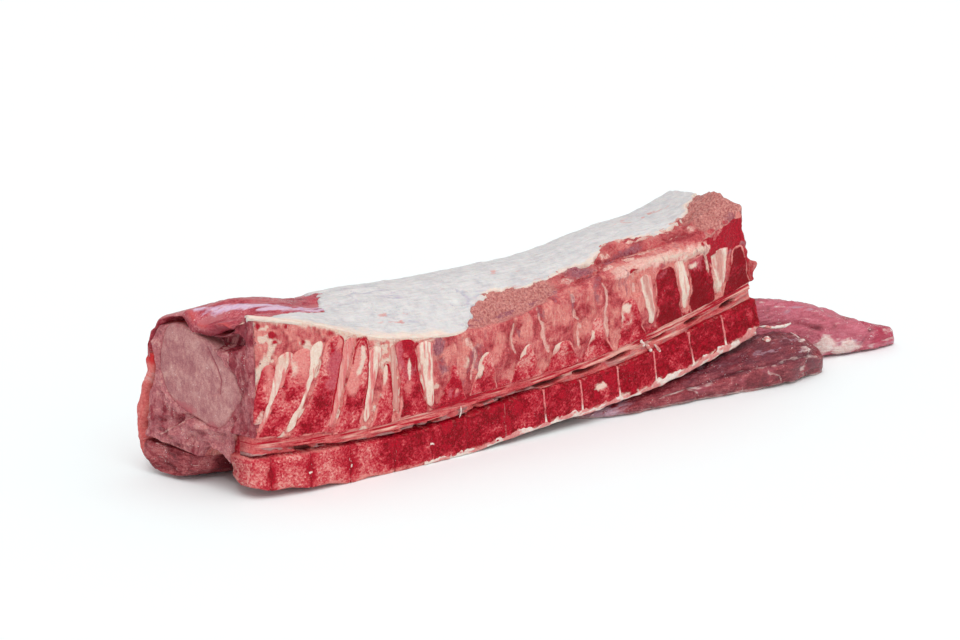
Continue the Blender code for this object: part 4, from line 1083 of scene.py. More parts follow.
def cutEnd():
    # The meat's cut end as a short plug: its rim, then rings shrinking to the eye's middle
    rings = []
    for place, loop in zip(cut["rimPlaces"], coreLoop(cut["rimPlaces"], 90, 34)):
        gone = np.linalg.norm(np.diff(loop[:, 1:], axis=0, append=loop[:1, 1:]), axis=1)
        walked = np.concatenate([[0], np.cumsum(gone)])
        wanted = np.linspace(0, walked[-1], cut["columns"], endpoint=False)
        closed = np.concatenate([loop, loop[:1]])
        ring = np.stack([np.interp(wanted, walked, closed[:, k]) for k in range(3)], -1)
        shrink = 1 - 0.004 * fade(place, 0.3, 1.0) - 0.012 * decay(place, 0.12)
        middle = np.array([place, *eye["centre"]])
        rings.append(middle + (ring - middle) * shrink)
    rim = rings[-1]
    middle = np.array([0.0, *eye["centre"]])
    for share in np.concatenate([[0.993, 0.98], np.linspace(0.965, 0.03, cut["rings"])]):
        ring = middle + (rim - middle) * share
        y, z = ring[:, 1], ring[:, 2]
        nearRim = decay(1 - share, 0.012)
        depth = endRelief(y, z) + 0.3 * fade(insideEye(y, z), 0.0, 0.25) + 0.08 * nearRim
        ring[:, 0] = depth * fade(1 - share, 0.0, 0.05) + 0.08 * nearRim
        rings.append(ring)
    rings = np.array(rings)
    y, z = rings[..., 1], rings[..., 2]

    def along(line, width):
        return bell(toLine(y, z, *cut[line]), width)

    hollow = fade(1 - np.hypot((y - 2.35) / 2.3, (z - 11.2) / 1.2), 0, 0.4)
    inner = fade(1.9 - y, 0, 0.35) * fade(z, 3.2, 4.2)
    lower = fade(5.6 - z + 0.4 * (y - 6), 0, 0.8) * fade(y, 3.2, 4.2)
    streak = noise(0, y, z, (1, 0.2, 0.8), 95, 3)
    # painted shade: dark in the hollow under the top lip; the strip near the sawn face is dark muscle
    dark = 0.9 * hollow * fade(-streak, -0.6, 0.3) + (0.56 + 0.32 * streak) * inner
    rimLine = (bell(insideEye(y, z) + 0.12, 0.1) * fade(noise(0, y, z, 1.2, 96, 1), 0.1, 0.6)
               * fade(5.5 - z, 0, 2))
    tendon = np.maximum(along("tendon", 0.18), (0.62 + 0.3 * streak) * along("sheath", 0.14))
    values = {"dark": dark + (0.45 + 0.34 * streak) * lower * (1 - 0.8 * along("strap", 0.4)),
              "cream": most(0.4 * along("blob", 0.22), 0.6 * rimLine, 0.95 * tendon,
                            0.5 * along("belt", 0.1)),
              "coral": fade(y, 9.3, 9.6) * 0.75 * fade(z, 5, 6)}
    ringPiece("cutEnd", toScene(rings), values, paint["end"], "loin_meat", "loin_meat")


def eyeMuscle():
    # A long bar through the loin; both ends are flat cuts with a rounded rim
    turn = np.linspace(0, 2 * np.pi, eye["columns"], endpoint=False)
    radius = eyeRadius(turn) + 0.06 * noise(0, 3 * np.cos(turn), 3 * np.sin(turn), 1.3, 101, 2)
    shape = np.stack([0 * turn, radius * np.cos(turn), radius * np.sin(turn)], -1)
    rings, inside, seams = [], [], []
    for share in np.linspace(0.02, 0.985, eye["endRings"]):
        ring = np.array([0, *eye["centre"]]) + shape * share
        y, z = ring[:, 1], ring[:, 2]
        seam = bell(toLine(y, z, *eye["crease"]), 0.08)
        ring[:, 0] = 0.02 + 0.05 * noise(0, y, z, 1.6, 102, 2) + 0.012 * noise(0, y, z, 0.14, 103, 2)
        ring[:, 0] += 0.16 * np.exp(-(1 - share) * radius / 0.1) + 0.12 * seam
        rings.append(ring)
        inside.append((1 - share) * radius)
        seams.append(seam)
    across, up = eye["centre"]
    for s in (0.3, 0.8, 6, 12, 18, 24, 30, 36, 42, 44.9):
        rings.append(np.array([s, across, up - keyed(s, *eye["sink"])]) + shape * keyed(s, *eye["size"]))
        inside.append(0 * radius)
    for share in np.linspace(0.985, 0.03, 24):
        ring = np.array([45.5, across, up - 1.2]) + shape * share * 0.8
        ring[:, 0] += 0.2 * noise(0, ring[:, 1], ring[:, 2], 1.4, 104, 3)
        rings.append(ring)
        inside.append((1 - share) * radius)
    rings, inside, seams = np.array(rings), np.array(inside), np.array(seams)
    seams = np.concatenate([seams, np.zeros((len(rings) - len(seams), len(turn)))])
    y, z = rings[..., 1], rings[..., 2]
    cloud = noise(0, y, z, 1.4, 105, 3)
    lowRim = 0.9 * fade(5.6 - z, 0, 1.2) * fade(y, 3.4, 4.4) * fade(0.9 - inside, 0, 0.6)
    # dark along the crease is painted shade; lowRim is the darker meat below the eye
    values = {"pink": 0.75 * decay(inside, 0.3) * fade(7.5 - z, -1, 2) + 0.35 * fade(cloud, 0.1, 0.7),
              "dark": np.maximum(0.9 * seams, lowRim)}
    ringPiece("eyeMuscle", toScene(rings), values, paint["eye"], "eye_meat", "loin_eye")


# the dark muscle on top, with curves along the loin (place, value) and the hollow's lip at the cut end
cap = {"rows": 150, "columns": 130, "length": 9.2, "hollow": (2.7, 2.0),
       "innerEdge": (0, 0.35, 1.2, 0.6, 2.5, 0.95, 4, 1.2, 7, 1.5, 9.2, 2.1),
       "silverPath": (0, 4.7, 1.5, 3.9, 3, 3.1, 6, 2.5, 9.2, 2.9),
       "thick": (0, 0.25, 0.25, 1.0, 0.8, 1.0, 1, 0.6)}


def capMuscle():
    # Thin dark muscle on top at the cut end, its front edge rolled into a lip over the hollow
    s = np.linspace(-0.05, cap["length"], cap["rows"])
    across = np.linspace(0, 1, cap["columns"])[None, :]
    first = keyed(s, *cap["innerEdge"])[:, None]
    steps = first + (5.75 - first) * across
    far = s[:, None]
    y = 1.5 * steps
    depth = skin(s, steps)[..., 1]
    slanted = depth - keyed(far, *cap["silverPath"])
    overEye = fade(depth, 4.9, 5.7) * fade(1.6 - far, 0, 1.2)
    overHollow = hump(depth, *cap["hollow"])
    bands = 0.14 * noise(far, y, 0, (4.0, 0.8, 1), 111, 3) + 0.03 * noise(far, y, 0, 0.3, 112, 2)
    lip = 0.22 * decay(s + 0.05, 0.2)[:, None] * (1 - 0.5 * overHollow)
    peak = -0.3 * hump(depth, 5.0, 0.45) * decay(far, 0.6)
    wave = 0.22 * noise(far * 0, y, 0, 0.9, 113, 2) * np.exp(-far / 0.8)
    side = 0.5 * decay(np.minimum(across, 1 - across), 0.02)
    valley = 0.12 * bell(slanted + 0.9, 0.35) - 0.1 * bell(slanted - 0.1, 0.5)
    front = skin(s, steps, 0.05 + bands + lip + wave + valley + peak + 0.1 * side)
    thick = keyed(across, *cap["thick"]) * (1 - 0.5 * far / cap["length"]) * (1 - 0.8 * overEye)
    thin = 0.35 * overHollow * np.exp(-far / 1.5)
    back = skin(s, steps, 0.16 + thick - 0.5 * lip + wave - thin)
    curl = 0.22 * hump(noise(0, y, 0, 1.1, 114, 2), 0.6, 0.5) + 0.25 * overHollow
    front[..., 0] -= curl * decay(far, 0.5)
    back[..., 0] += 0.2 * overHollow * decay(far, 0.5)
    fringe = 0.35 * noise(far, y, 0, (2.4, 0.35, 1), 115, 3)
    streak = noise(far, y, 0, (3.0, 0.25, 1), 117, 2)
    reddened = fade(noise(far, y, 0, (1, 0.5, 1), 116, 2), -0.7, 0.1)
    silver = hump(slanted + fringe, 0, 0.48) * fade(far, -0.1, 0.6) * (0.78 + 0.4 * streak)
    # coral along the lip's rolled front edge: partly the muscle's own coral, partly a painted highlight
    values = {"silver": np.maximum(silver, 0.5 * hump(slanted + fringe, -0.9, 0.5) * fade(far, 4.5, 7.5)),
              "coral": decay(far, 0.35) * 0.62 * fade(5.4 - depth, 0, 0.6) * reddened,
              "pale": np.maximum(0.9 * overEye, 0.6 * fade(streak, 0.1, 0.6)),
              "cream": 0.9 * decay(steps - first, 0.12) + 0 * depth, "hollow": 0 * depth}
    under = {label: np.zeros_like(value) for label, value in values.items()}
    # painted shade: the underside over the hollow is coloured darker for the shade inside the hollow
    under["hollow"] = 1.2 * overHollow
    sheetPiece("topMuscle", toScene(front), toScene(back), values, paint["dark"], "dark_meat", "cap_muscle",
               under=under)


# the fat: capEnd is where the top muscle ends, as place across and place along
fat = {"rows": 400, "columns": 120, "thickness": 0.3,
       "capEnd": (0, -1.0, 0.5, -0.5, 0.9, 0.6, 1.4, 2.1, 1.8, 3.6, 2.25, 6.4, 3.0, 6.8, 4.5, 7.9, 6.0, 8.6,
                  8.5, 9.5)}


def fatCap():
    # One sheet over the whole top. It sinks under the meat where the fat has been cut or torn off,
    # so its ragged border is where the two surfaces meet.
    s = np.linspace(0.02, loin["length"] - 0.1, fat["rows"])
    border = fatBorder(s)[:, None]
    first = np.where(border > 0.2, border - 0.45, -0.0)
    steps = first + (loin["sideTop"] + 0.25 - first) * np.linspace(0, 1, fat["columns"])[None, :] ** 1.1
    far = s[:, None]
    y = 1.5 * steps
    beyond = fade(far, 17, 18.5)     # 1 where the border has left the sawn edge

    # how far each point lies within the fat: past its border, past the top muscle, above the flank
    ragged = 0.3 * noise(far, y, 0, (1.8, 0.8, 1), 121, 3) + 0.12 * noise(far, y, 0, 0.3, 122, 2)
    reach = (steps - border) * 1.5 + ragged * fade(far, 17, 19)
    onEdge = fade(reach, -0.1, 0.16) * beyond + (1 - beyond)
    pastCap = far - keyed(y, *fat["capEnd"]) + 0.7 * noise(far, y, 0, (1.6, 0.5, 1), 123, 3)
    rim = fade(0.34 + 0.3 * ragged - y, -0.12, 0.12)
    above = 1.5 * (loin["sideTop"] + 0.02 - steps) + 0.5 * noise(far, y, 0, (1.6, 0.8, 1), 133, 3)
    here = onEdge * np.maximum(fade(pastCap, -0.35, 0.45), rim) * fade(above, -0.15, 0.15)

    bent = y + 0.25 * noise(far, y, 0, (4, 2, 1), 131, 1)
    wrinkle = (0.05 * noise(far, bent, 0, (2.6, 0.3, 1), 124, 3)
               + 0.035 * noise(far, y, 0, (0.9, 0.5, 1), 125, 2))
    crease = bell(noise(far, bent + 0.1 * far, 0, (3.6, 0.6, 1), 126, 2), 0.07)
    crease = crease * fade(noise(far, y, 0, (2.0, 1.0, 1), 132, 1), -0.2,
                           0.4) * (1 - 0.6 * fade(far, 24, 30))
    high = 0.06 + wrinkle - 0.05 * crease
    underCap = fade(9.0 - far, 0, 2) * fade(y, 0.5, 1.0)
    sunk = 0.45 * underCap, 0.35 * fade(far, 26, 29)
    outward = high * here - (1 - here) * (0.28 + sunk[0] + sunk[1])
    front = skin(s, steps, -outward + 0.14 * decay(y, 0.12) * (1 - beyond))
    front[..., 1] -= 0.02 * (1 - fade(far, 17, 18))
    back = skin(s, steps, fat["thickness"] + (0.25 + sunk[0] + sunk[1]) * (1 - here))
    for side in (back, front):
        side[..., 0] += 1.8 * fade(y, 0.45, 0.9) * decay(far, 2)

    rimCream = decay(y - 0.1, 0.45 + 0.35 * noise(far, y, 0, (2, 0.8, 1), 127, 2)) * (1 - fade(far, 17, 20))
    borderCream = 1 - fade(reach, 0.1, 0.7 + 0.5 * noise(far, 0 * y, 0, 2.0, 128, 2))
    stain = fade(noise(far, y, 0, (1.0, 0.25, 1), 129, 3), 0.2, 0.7)
    where = hump(far, 12.0, 1.6) * hump(y, 1.3, 0.6) + 0.7 * hump(far, 24.5, 2.5) * hump(y, 3.6, 1.2)
    where = (where + 0.9 * hump(far, 40, 3) * hump(y, 4.6, 0.8)
             + 0.35 * fade(reach, 0.9, 0.1) * fade(far, 20, 24))
    clouds = 0.45 * fade(noise(far, y, 0, (4, 0.6, 1), 130, 3), 0.1, 0.8) * fade(y, 2.5, 5.0)
    # lilac along the creases is painted shade; the lilac clouds are the fat's own tinge
    values = {"cream": np.maximum(rimCream, 0.75 * borderCream * fade(far, 18, 22)),
              "pink": 0.95 * stain * np.minimum(where, 1), "lilac": np.maximum(clouds, 0.8 * crease)}
    sheetPiece("fatCap", toScene(front), toScene(back), values, paint["fat"], "fat", "fat_cover")


def flankMuscle():
    # Coral muscle down the flank, with thin membrane over parts of it
    settings = {"rows": 240, "columns": 60, "thickness": 0.75}
    s = np.concatenate([[-0.06, 0.0], np.linspace(0.08, loin["length"] - 0.05, settings["rows"])])
    across = np.linspace(0, 1, settings["columns"])[None, :]
    steps = loin["sideTop"] + 0.05 + (loin["sideBottom"] + 0.15 - loin["sideTop"]) * across
    far = s[:, None]
    y = 2.2 * steps
    bands = 0.12 * noise(far, y, 0, (5.0, 0.8, 1), 131, 3) + 0.02 * noise(far, y, 0, 0.35, 132, 2)
    atEnd = 0.22 * decay(far + 0.06, 0.18)
    atSide = 0.2 * decay(np.minimum(across, 1 - across), 0.04)
    knob = -0.25 * bell(far, 0.8) * hump(across, 0.07, 0.07)
    front = skin(s, steps, bands + atEnd + atSide + knob)
    back = skin(s, steps, settings["thickness"] + 0.2 * noise(far * 0, y, 0, 1.3, 133, 2) - atEnd)
    inside = fade(far, 0.4, 1.5)     # past the cut end's rim
    membrane = fade(noise(far, y, 0, (3.5, 0.7, 1), 134, 4), 0.0, 1.0) * inside
    wisps = fade(noise(far, y, 0, (5.0, 0.18, 1), 136, 2), 0.2, 0.8) * inside
    low = fade(across, 0.8, 0.95) * fade(1.6 - far, 0, 0.8) * 0.25
    high = hump(across, 0.24, 0.1) * fade(1.6 - far, 0, 0.8) * 0.42
    values = {"cream": most(membrane * 0.62, 0.5 * wisps, low, high),
              "dark": 0.45 * fade(noise(far, y, 0, (4, 0.8, 1), 135, 2), 0.3, 0.7),
              "blood": 0.8 * hump(across, 0.05, 0.08) * bell(far, 1.1)}
    sheetPiece("flankMuscle", toScene(front), toScene(back), values, paint["side"], "side_meat",
               "side_muscle")


def ribFlap():
    # The rolled muscle under the flank, as rings along the loin: a spiral shows on its cut end
    settings = {"rows": 230, "outside": 70, "inside": 26, "endRings": 34, "lastRings": 12,
                "roll": (7.2, 2.0),
                "line": ((8.9, 3.4), (8.0, 3.1), (7.0, 3.3))}
    s = np.concatenate([[0.0, 0.05, 0.12, 0.22], np.linspace(0.35, loin["length"] - 0.1, settings["rows"])])
    steps = np.linspace(loin["sideBottom"] + 0.05, loin["flapInner"], settings["outside"])[None, :]
    far = s[:, None]
    folds = (0.12 * noise(far, 2.0 * steps, 0, (3.5, 0.9, 1), 141, 3)
             + 0.03 * noise(far, 2 * steps, 0, 0.35, 142, 2))
    outer = skin(s, steps, folds + 0.05)
    share = np.linspace(0, 1, settings["inside"] + 2)[1:-1][None, :, None]
    chord = outer[:, -1:] + (outer[:, :1] - outer[:, -1:]) * share
    rings = np.concatenate([outer, chord], axis=1)
    middle = rings.mean(1, keepdims=True)
    rings[..., 1:] += ((middle - rings) * 0.06 * decay(s, 0.08)[:, None, None])[..., 1:]
    first, centre = rings[0], middle[0]
    end = []
    for share in np.linspace(0.03, 0.97, settings["endRings"]):
        ring = centre + (first - centre) * share
        y, z = ring[:, 1], ring[:, 2]
        dy, dz = y - settings["roll"][0], z - settings["roll"][1]
        roll = 0.16 * np.sin(2.6 * np.hypot(dy, dz) + 1.2 * np.arctan2(dz, dy))
        ring[:, 0] = 0.02 + (roll + 0.06 * noise(0, y, z, 0.5, 143, 3)) * fade(1 - share, 0, 0.15)
        end.append(ring)
    shares = np.linspace(0.1, 0.95, settings["lastRings"])[:, None, None]
    closing = rings[-1] + (rings[-1].mean(0) - rings[-1]) * shares
    closing[..., 0] += 0.15 * noise(0, closing[..., 1], closing[..., 2], 1.0, 144, 3)
    rings = np.concatenate([np.array(end), rings, closing])
    along, y, z = np.moveaxis(rings, -1, 0)
    seam = np.abs(noise(along * 0.3, y, z, 1.1, 145, 2))
    line = bell(toLine(y, z, *settings["line"]), 0.16) * decay(along, 0.4)
    cloud = noise(along, y, z, (2, 1, 0.7), 146, 2)
    # painted shade: the flap's inner side near the cut end is painted dark for the shade under the loin
    inner = fade(6.0 - y + 0.3 * cloud, 0, 1.0) * fade(along, 0.0, 2.4)
    values = {"cream": np.maximum(0.6 * fade(0.1 - seam, 0, 0.1), line) * (1 - inner),
              "dark": np.maximum(0.32 + 0.3 * cloud, 1.1 * inner), "coral": fade(y, 9.0, 9.5)}
    ringPiece("ribFlap", toScene(rings), values, paint["flap"], "flap_meat", "rib_flap")


# the open canal, and the hollows in it: places along the loin, then middle, half width and half height there
canal = {"rows": 430, "columns": 48, "tuck": 0.12, "back": 1.15,
         "holes": (25.1, 28.9, 31.9, 35.8, 39.3, 42.8),
         "holeMiddle": (0, 3.4, 24, 3.55, 30, 3.35, 36, 3.45, 45, 3.1),
         "holeWide": (0, 1.15, 33, 1.1, 36, 0.8), "holeTall": (0, 0.28, 33, 0.28, 36, 0.22)}


def canalLining():
    # The spinal canal sawn open: striped lamina above, then soft tissue, with a crevice in the near half and
    # a row of hollows, the vessels, in the far half. Painted shade darkens the crevice and the hollows,
    # partly the vessels' own colour.
    s = np.linspace(0.15, loin["length"] - 0.4, canal["rows"])[:, None]
    share = np.linspace(0, 1, canal["columns"])[None, :]
    floor, roof = canalFloor(s), canalRoof(s)
    low, high = floor - canal["tuck"], roof + canal["tuck"]
    z = low + share * (high - low)
    right = fade(s, 22.5, 25)     # 1 in the far half
    ledge = roof - 0.7 - 0.14 * noise(s, 0, 0, 2.2, 151, 2) + 0.12 * right
    band = fade(z - ledge, -0.08, 0.06)
    stripes = 0.06 * noise(s, 0, z, (2.6, 1, 0.16), 152, 2)
    lamina = 0.06 + stripes + 0.06 * np.abs(noise(s, 0, z, (1.2, 1, 0.3), 153, 1))
    blobs = fade(noise(s, 0, z, (1.2, 1, 0.5), 154, 3), -0.7, 0.1) * (1 - fade(s, 24, 27))
    smooth = 0.3 + 0.08 * noise(s, 0, z, (1.5, 1, 0.3), 155, 2)
    crevice = (0.8 - 0.55 * blobs) * (1 - 0.75 * fade(4.5 - s, 0, 4))
    holes = 0 * z
    for place in canal["holes"]:
        middle, wide, tall = (keyed(place, *canal[part]) for part in ("holeMiddle", "holeWide", "holeTall"))
        holes = np.maximum(holes, fade(1.1 - np.hypot((s - place) / wide, (z - middle) / tall), 0, 0.35))
    crevice = crevice * (1 - right) + (smooth + 0.6 * holes) * right
    floorward = fade(z - floor, 0.0, 0.28)
    crevice = 0.9 * (1 - floorward) * (1 - right) + crevice * (1 - (1 - floorward) * (1 - right))
    y = lamina * band + crevice * (1 - band)
    front = np.stack([s + 0 * z, y, z], -1)
    back = np.stack([s + 0 * z, canal["back"] + 0 * z, z], -1)

    streak = noise(s, 0, z, (2.4, 1, 0.14), 156, 3)
    mottle = noise(s, 0, z, (0.7, 1, 0.3), 157, 2)
    cream = band * (0.1 + 0.75 * streak) * fade(s, -1, 2.5) + right * (1 - band) * (0.25 + 0.6 * streak)
    grey = (1 - band) * (1 - right) * fade(blobs, 0.3, 0.8) * fade(mottle, -0.5, 0.1)
    # painted shade: dark where the crevice is deepest and in the hollows, partly the vessels' own colour
    dark = (1 - band) * np.maximum((1 - right) * fade(y, 0.5, 0.8), 0.8 * holes)
    values = {"cream": cream + 0.45 * band * fade(s, 29, 34),
              "grey": grey + 0.5 * right * (1 - band) * fade(mottle, -0.3, 0.4),
              "blood": 0.85 * fade(-streak, 0.1, 0.6) * (0.5 + 0.5 * band),
              # painted shade along the foot of the crevice, in patches
              "dark": dark + 0.8 * bell(z - floor - 0.12, 0.09) * (1 - right) * fade(mottle, -0.7, 0.1)}
    sheetPiece("canalLining", toScene(front), toScene(back), values, paint["canal"], "loin_meat")


# the tenderloin: its front, back and height as curves along the table, from 1.5 cm along the loin.
# ends holds where the rounding starts and stops, its pace at the far end and its length.
tenderloin = {
    "columns": 130, "start": 1.5,
    "head": {
        "rows": 190, "reach": (26.3, 50.4), "ends": (26.2, 50.5, 1.0, 0.9),
        "front": (26.5, 2.2, 28, 0.7, 33, -0.2, 39, -0.9, 43, -1.7, 45.7, -1.9, 48.0, -1.5, 49.4, -0.8, 50.3,
                  0.0),
        "back": (26.5, 3.2, 29, 3.8, 36, 3.5, 44, 2.6, 47.4, 2.3, 49.4, 2.1, 50.3, 1.5),
        "height": (26.5, 0.5, 29, 0.95, 33, 1.35, 37, 1.95, 41, 2.7, 45, 3.5, 47.6, 3.1, 49.4, 2.1, 50.3,
                   1.0),
        "split": ((34.0, 0.6), (41.0, 0.64), (45.0, 0.56), (49.0, 0.7)),
    },
    "lobe": {
        "rows": 230, "reach": (24.3, 59.36), "ends": (24.2, 59.42, 1.6, 1.1),
        "front": (24.5, 4.6, 29, 4.1, 36, 3.8, 44, 2.9, 48.5, 2.55, 50, 2.3, 51.5, 1.4, 54, 0.8, 57.5, 0.5,
                  59.3, 0.8),
        "back": (24.5, 5.1, 30, 5.6, 40, 5.7, 50, 5.4, 55, 4.3, 57.5, 2.7, 59.3, 1.8),
        "height": (24.5, 0.8, 30, 2.4, 36, 3.6, 42, 4.6, 46, 5.2, 50, 4.7, 54, 3.2, 56, 2.3, 57.6, 1.75,
                   58.7, 1.5,
                   59.3, 1.2),
        "notch": ((55.6, 3.2), (56.2, 1.9), (55.4, 0.8)), "fold": ((45.0, 3.6), (49.5, 3.1), (51.5, 2.5)),
        "lumps": ((51.7, 1.3, 0.8, 0.75, 178), (53.9, 1.05, 1.25, 0.5, 179)),
    },
}


def sunkMuscle(part):
    # Rings of a muscle sunk onto the table, with flat foot, low sides and rounded top as powers of sine
    # and cosine. Gives the rings, and how far each is from the rounded ends, 1 where they are not felt.
    t = np.linspace(*part["reach"], part["rows"])
    front, back, height = (keyed(t, *part[side]) for side in ("front", "back", "height"))
    turns = np.radians(np.linspace(-150, 210, tenderloin["columns"], endpoint=False))
    start, stop, pace, length = part["ends"]
    ends = np.sqrt(np.clip(np.minimum(t - start, (stop - t) * pace) / length, 0.02, 1))
    middle = 0.5 * (front + back)
    front, back = middle + (front - middle) * ends, middle + (back - middle) * ends
    side = np.sign(np.cos(turns)) * np.abs(np.cos(turns)) ** 0.8
    rise = np.abs(np.sin(turns))
    up = np.where(turns < 0, -rise ** 0.4, np.sign(np.sin(turns)) * rise ** 0.75)
    depth = (0.5 * (front + back))[:, None] + 0.5 * (back - front)[:, None] * side
    level = np.maximum((height * ends)[:, None] * (0.42 + np.where(up < 0, 0.42, 0.58) * up), 0.0)
    rings = np.stack([np.broadcast_to(t[:, None], depth.shape), depth, level], -1)
    return rings, ends[:, None]


def layOnTable(rings):
    # Places along the table to the scene
    return 0.01 * (rings + np.array([tenderloin["start"], 0, 0])) + layoutZero


def swellRings(rings, depth):
    # Moves points out from each ring's middle line, never below the table
    out = rings - rings.mean(1, keepdims=True)
    out[..., 0] = 0
    out /= np.maximum(np.linalg.norm(out, axis=-1, keepdims=True), 1e-6)
    moved = rings + out * depth[..., None]
    moved[..., 2] = np.maximum(moved[..., 2], 0.0)
    return moved


def tenderloinHead():
    # The thick head: smooth bulges below, parted by creases that carry thin fascia, and darker meat above.
    # The dark above is partly painted shade under the overhanging loin; painted shade also darkens the split
    # and the lower front.
    part = tenderloin["head"]
    rings, ends = sunkMuscle(part)
    x, y, z = np.moveaxis(rings, -1, 0)
    tall = keyed(x[:, :1], *part["height"])
    lower = fade(0.62 + 0.1 * noise(x, 0, 0, 2.0, 167) - z / tall, -0.12, 0.12)
    folds = 0.16 * noise(x, y, z, (4.0, 1.0, 1.0), 161, 2) + 0.05 * noise(x, y, z, (1.0, 0.6, 0.6), 162, 2)
    bulge = np.abs(np.sin(0.85 * (x + 0.9 * z + 1.0 * noise(x, y, z, 2.0, 163, 2)))) ** 0.5
    parted = bell(bulge, 0.3)
    split = bell(toLine(x, z / tall, *part["split"]), 0.06)
    relief = 0.2 * lower * bulge - 0.22 * split
    pits = (0.02 + 0.06 * (1 - lower)) * noise(x, y, z, 0.35, 164, 3)
    rings = swellRings(rings, (folds + relief + pits) * ends)
    x, y, z = np.moveaxis(rings, -1, 0)
    mottle = noise(x, y, z, (1.6, 0.8, 0.8), 165, 3)
    wisp = noise(x, y, z, (1.4, 0.35, 0.35), 168, 3)
    upper = (1 - lower) * fade(x, 34, 37)
    front = fade(x, 42, 46)
    chalky = patch(x, z, 47.4, 2.6, 0.9, 0.8, 169) * fade(1.0 - y, 0, 0.6)
    ledge = bell(z / tall - 0.62 + 0.06 * mottle, 0.05) * fade(x, 31, 34) * fade(wisp, -0.6, 0.2)
    fascia = 0.65 * lower * parted * fade(wisp, -1.1, 0.0) * fade(x, 30, 34)
    silver = 0.7 * fade(33.5 - x, 0, 5) * fade(mottle, -0.7, 0.2)
    # painted shade: dark on the upper part under the overhanging loin, partly the meat's own darker colour,
    # and along the split
    dark = (0.62 + 0.25 * mottle) * upper * fade(49.5 - x, 0, 3) + 0.3 * split
    # the lower front is painted darker, partly for the shade on its underside
    values = {"pink": (0.28 + 0.16 * mottle) * fade(x, 33, 37) * (0.35 + 0.65 * lower) * (1 - 0.6 * front),
              "red": 0 * x, "dark": dark + (0.42 + 0.2 * mottle) * lower * front,
              "silver": np.maximum(silver, 0.45 * upper * fade(wisp, 0.3, 0.8)),
              "cream": most(fascia, 0.5 * ledge, 0.9 * chalky * fade(wisp, -0.4, 0.3),
                            0.5 * lower * fade(0.5 - z, 0, 0.4))}
    ringPiece("tenderloinHead", layOnTable(rings), values, paint["tenderloin"], "tenderloin_meat",
              "tenderloin")


def tenderloinLobe():
    # The long lobe behind: pink, with a notch before its crimson tip and chalky lumps on its front
    part = tenderloin["lobe"]
    rings, ends = sunkMuscle(part)
    x, y, z = np.moveaxis(rings, -1, 0)
    folds = 0.18 * noise(x, y, z, (4.0, 1.6, 1.6), 171, 2) + 0.05 * noise(x, y, z, (1.2, 0.6, 0.6), 172, 3)
    notch = 0.35 * bell(toLine(x, z, *part["notch"]), 0.2) + 0.25 * bell(toLine(x, z, *part["fold"]), 0.16)
    lump = most(*[patch(x, z, *place) for place in part["lumps"]]) * fade(3.0 - y, 0, 0.6)
    rings = swellRings(rings, (folds - notch + 0.14 * lump + 0.04 * noise(x, y, z, 0.3, 173, 3)) * ends)
    x, y, z = np.moveaxis(rings, -1, 0)
    mottle = noise(x, y, z, (1.6, 0.8, 0.8), 174, 3)
    wisp = noise(x, y, z, (1.6, 0.3, 0.3), 177, 3)
    silver = 0.55 * fade(noise(x, y, z, (2.5, 0.8, 0.8), 176, 3), 0.2, 0.7)
    # the dark in the notch is painted shade; elsewhere it is mottling
    values = {"pink": fade(x, 38, 44) * (0.85 + 0.35 * mottle),
              "red": 0.85 * fade(x + 0.5 * mottle, 55.6, 57.0) * fade(z, 0.2, 0.9),
              "dark": 0.35 * fade(-mottle, 0.3, 0.8) + 0.55 * notch,
              "silver": np.maximum(silver, 0.5 * lump * fade(-wisp, 0, 0.4)),
              "cream": np.maximum(0.45 * fade(wisp, 0.45, 0.8), 1.3 * lump)}
    ringPiece("tenderloinLobe", layOnTable(rings), values, paint["tenderloin"], "tenderloin_meat",
              "tenderloin_lobe")


def tube(points, radii, around=14):
    # A round body along a path: circles square to it, from two vectors that follow its direction
    points = np.asarray(points, float)
    ahead = np.gradient(points, axis=0)
    ahead /= np.linalg.norm(ahead, axis=1, keepdims=True)
    side = np.cross(ahead, [0.0, 1.0, 0.0])
    side /= np.maximum(np.linalg.norm(side, axis=1, keepdims=True), 1e-6)
    above = np.cross(side, ahead)
    turns = np.linspace(0, 2 * np.pi, around, endpoint=False)
    circle = side[:, None] * np.cos(turns)[None, :, None] + above[:, None] * np.sin(turns)[None, :, None]
    return points[:, None] + circle * np.asarray(radii, float)[:, None, None]


def fatThread(name, thick, seed, onTable, *corners):
    # A strand or blob of fat: a tube with an uneven thickness and tapered ends, along a smooth curve
    # through the corners
    corners, rows = np.asarray(corners, float), 40
    places = np.arange(len(corners))
    along = np.linspace(0, places[-1], rows)
    path = np.stack([keyed(along, *np.column_stack([places, part]).ravel()) for part in corners.T], -1)
    t = np.linspace(0, 1, rows)
    taper = np.sqrt(np.clip(np.minimum(t, 1 - t) / 0.2, 0.01, 1))
    rings = tube(path, thick * taper * (1 + 0.3 * noise(t, seed, 0, 0.15, seed, 2)))
    rings = rings + 0.25 * thick * noise(*np.moveaxis(rings, -1, 0), 1.6 * thick, seed + 1, 2)[..., None]
    if onTable:
        rings[..., 2] = np.maximum(rings[..., 2], 0.0)
    pink = fade(noise(*np.moveaxis(rings, -1, 0), 0.5, seed + 2, 2), 0.1, 0.7)
    placed = layOnTable(rings) if onTable else toScene(rings)
    ringPiece(name, placed, {"pink": pink}, paint["fatBit"], "fat")


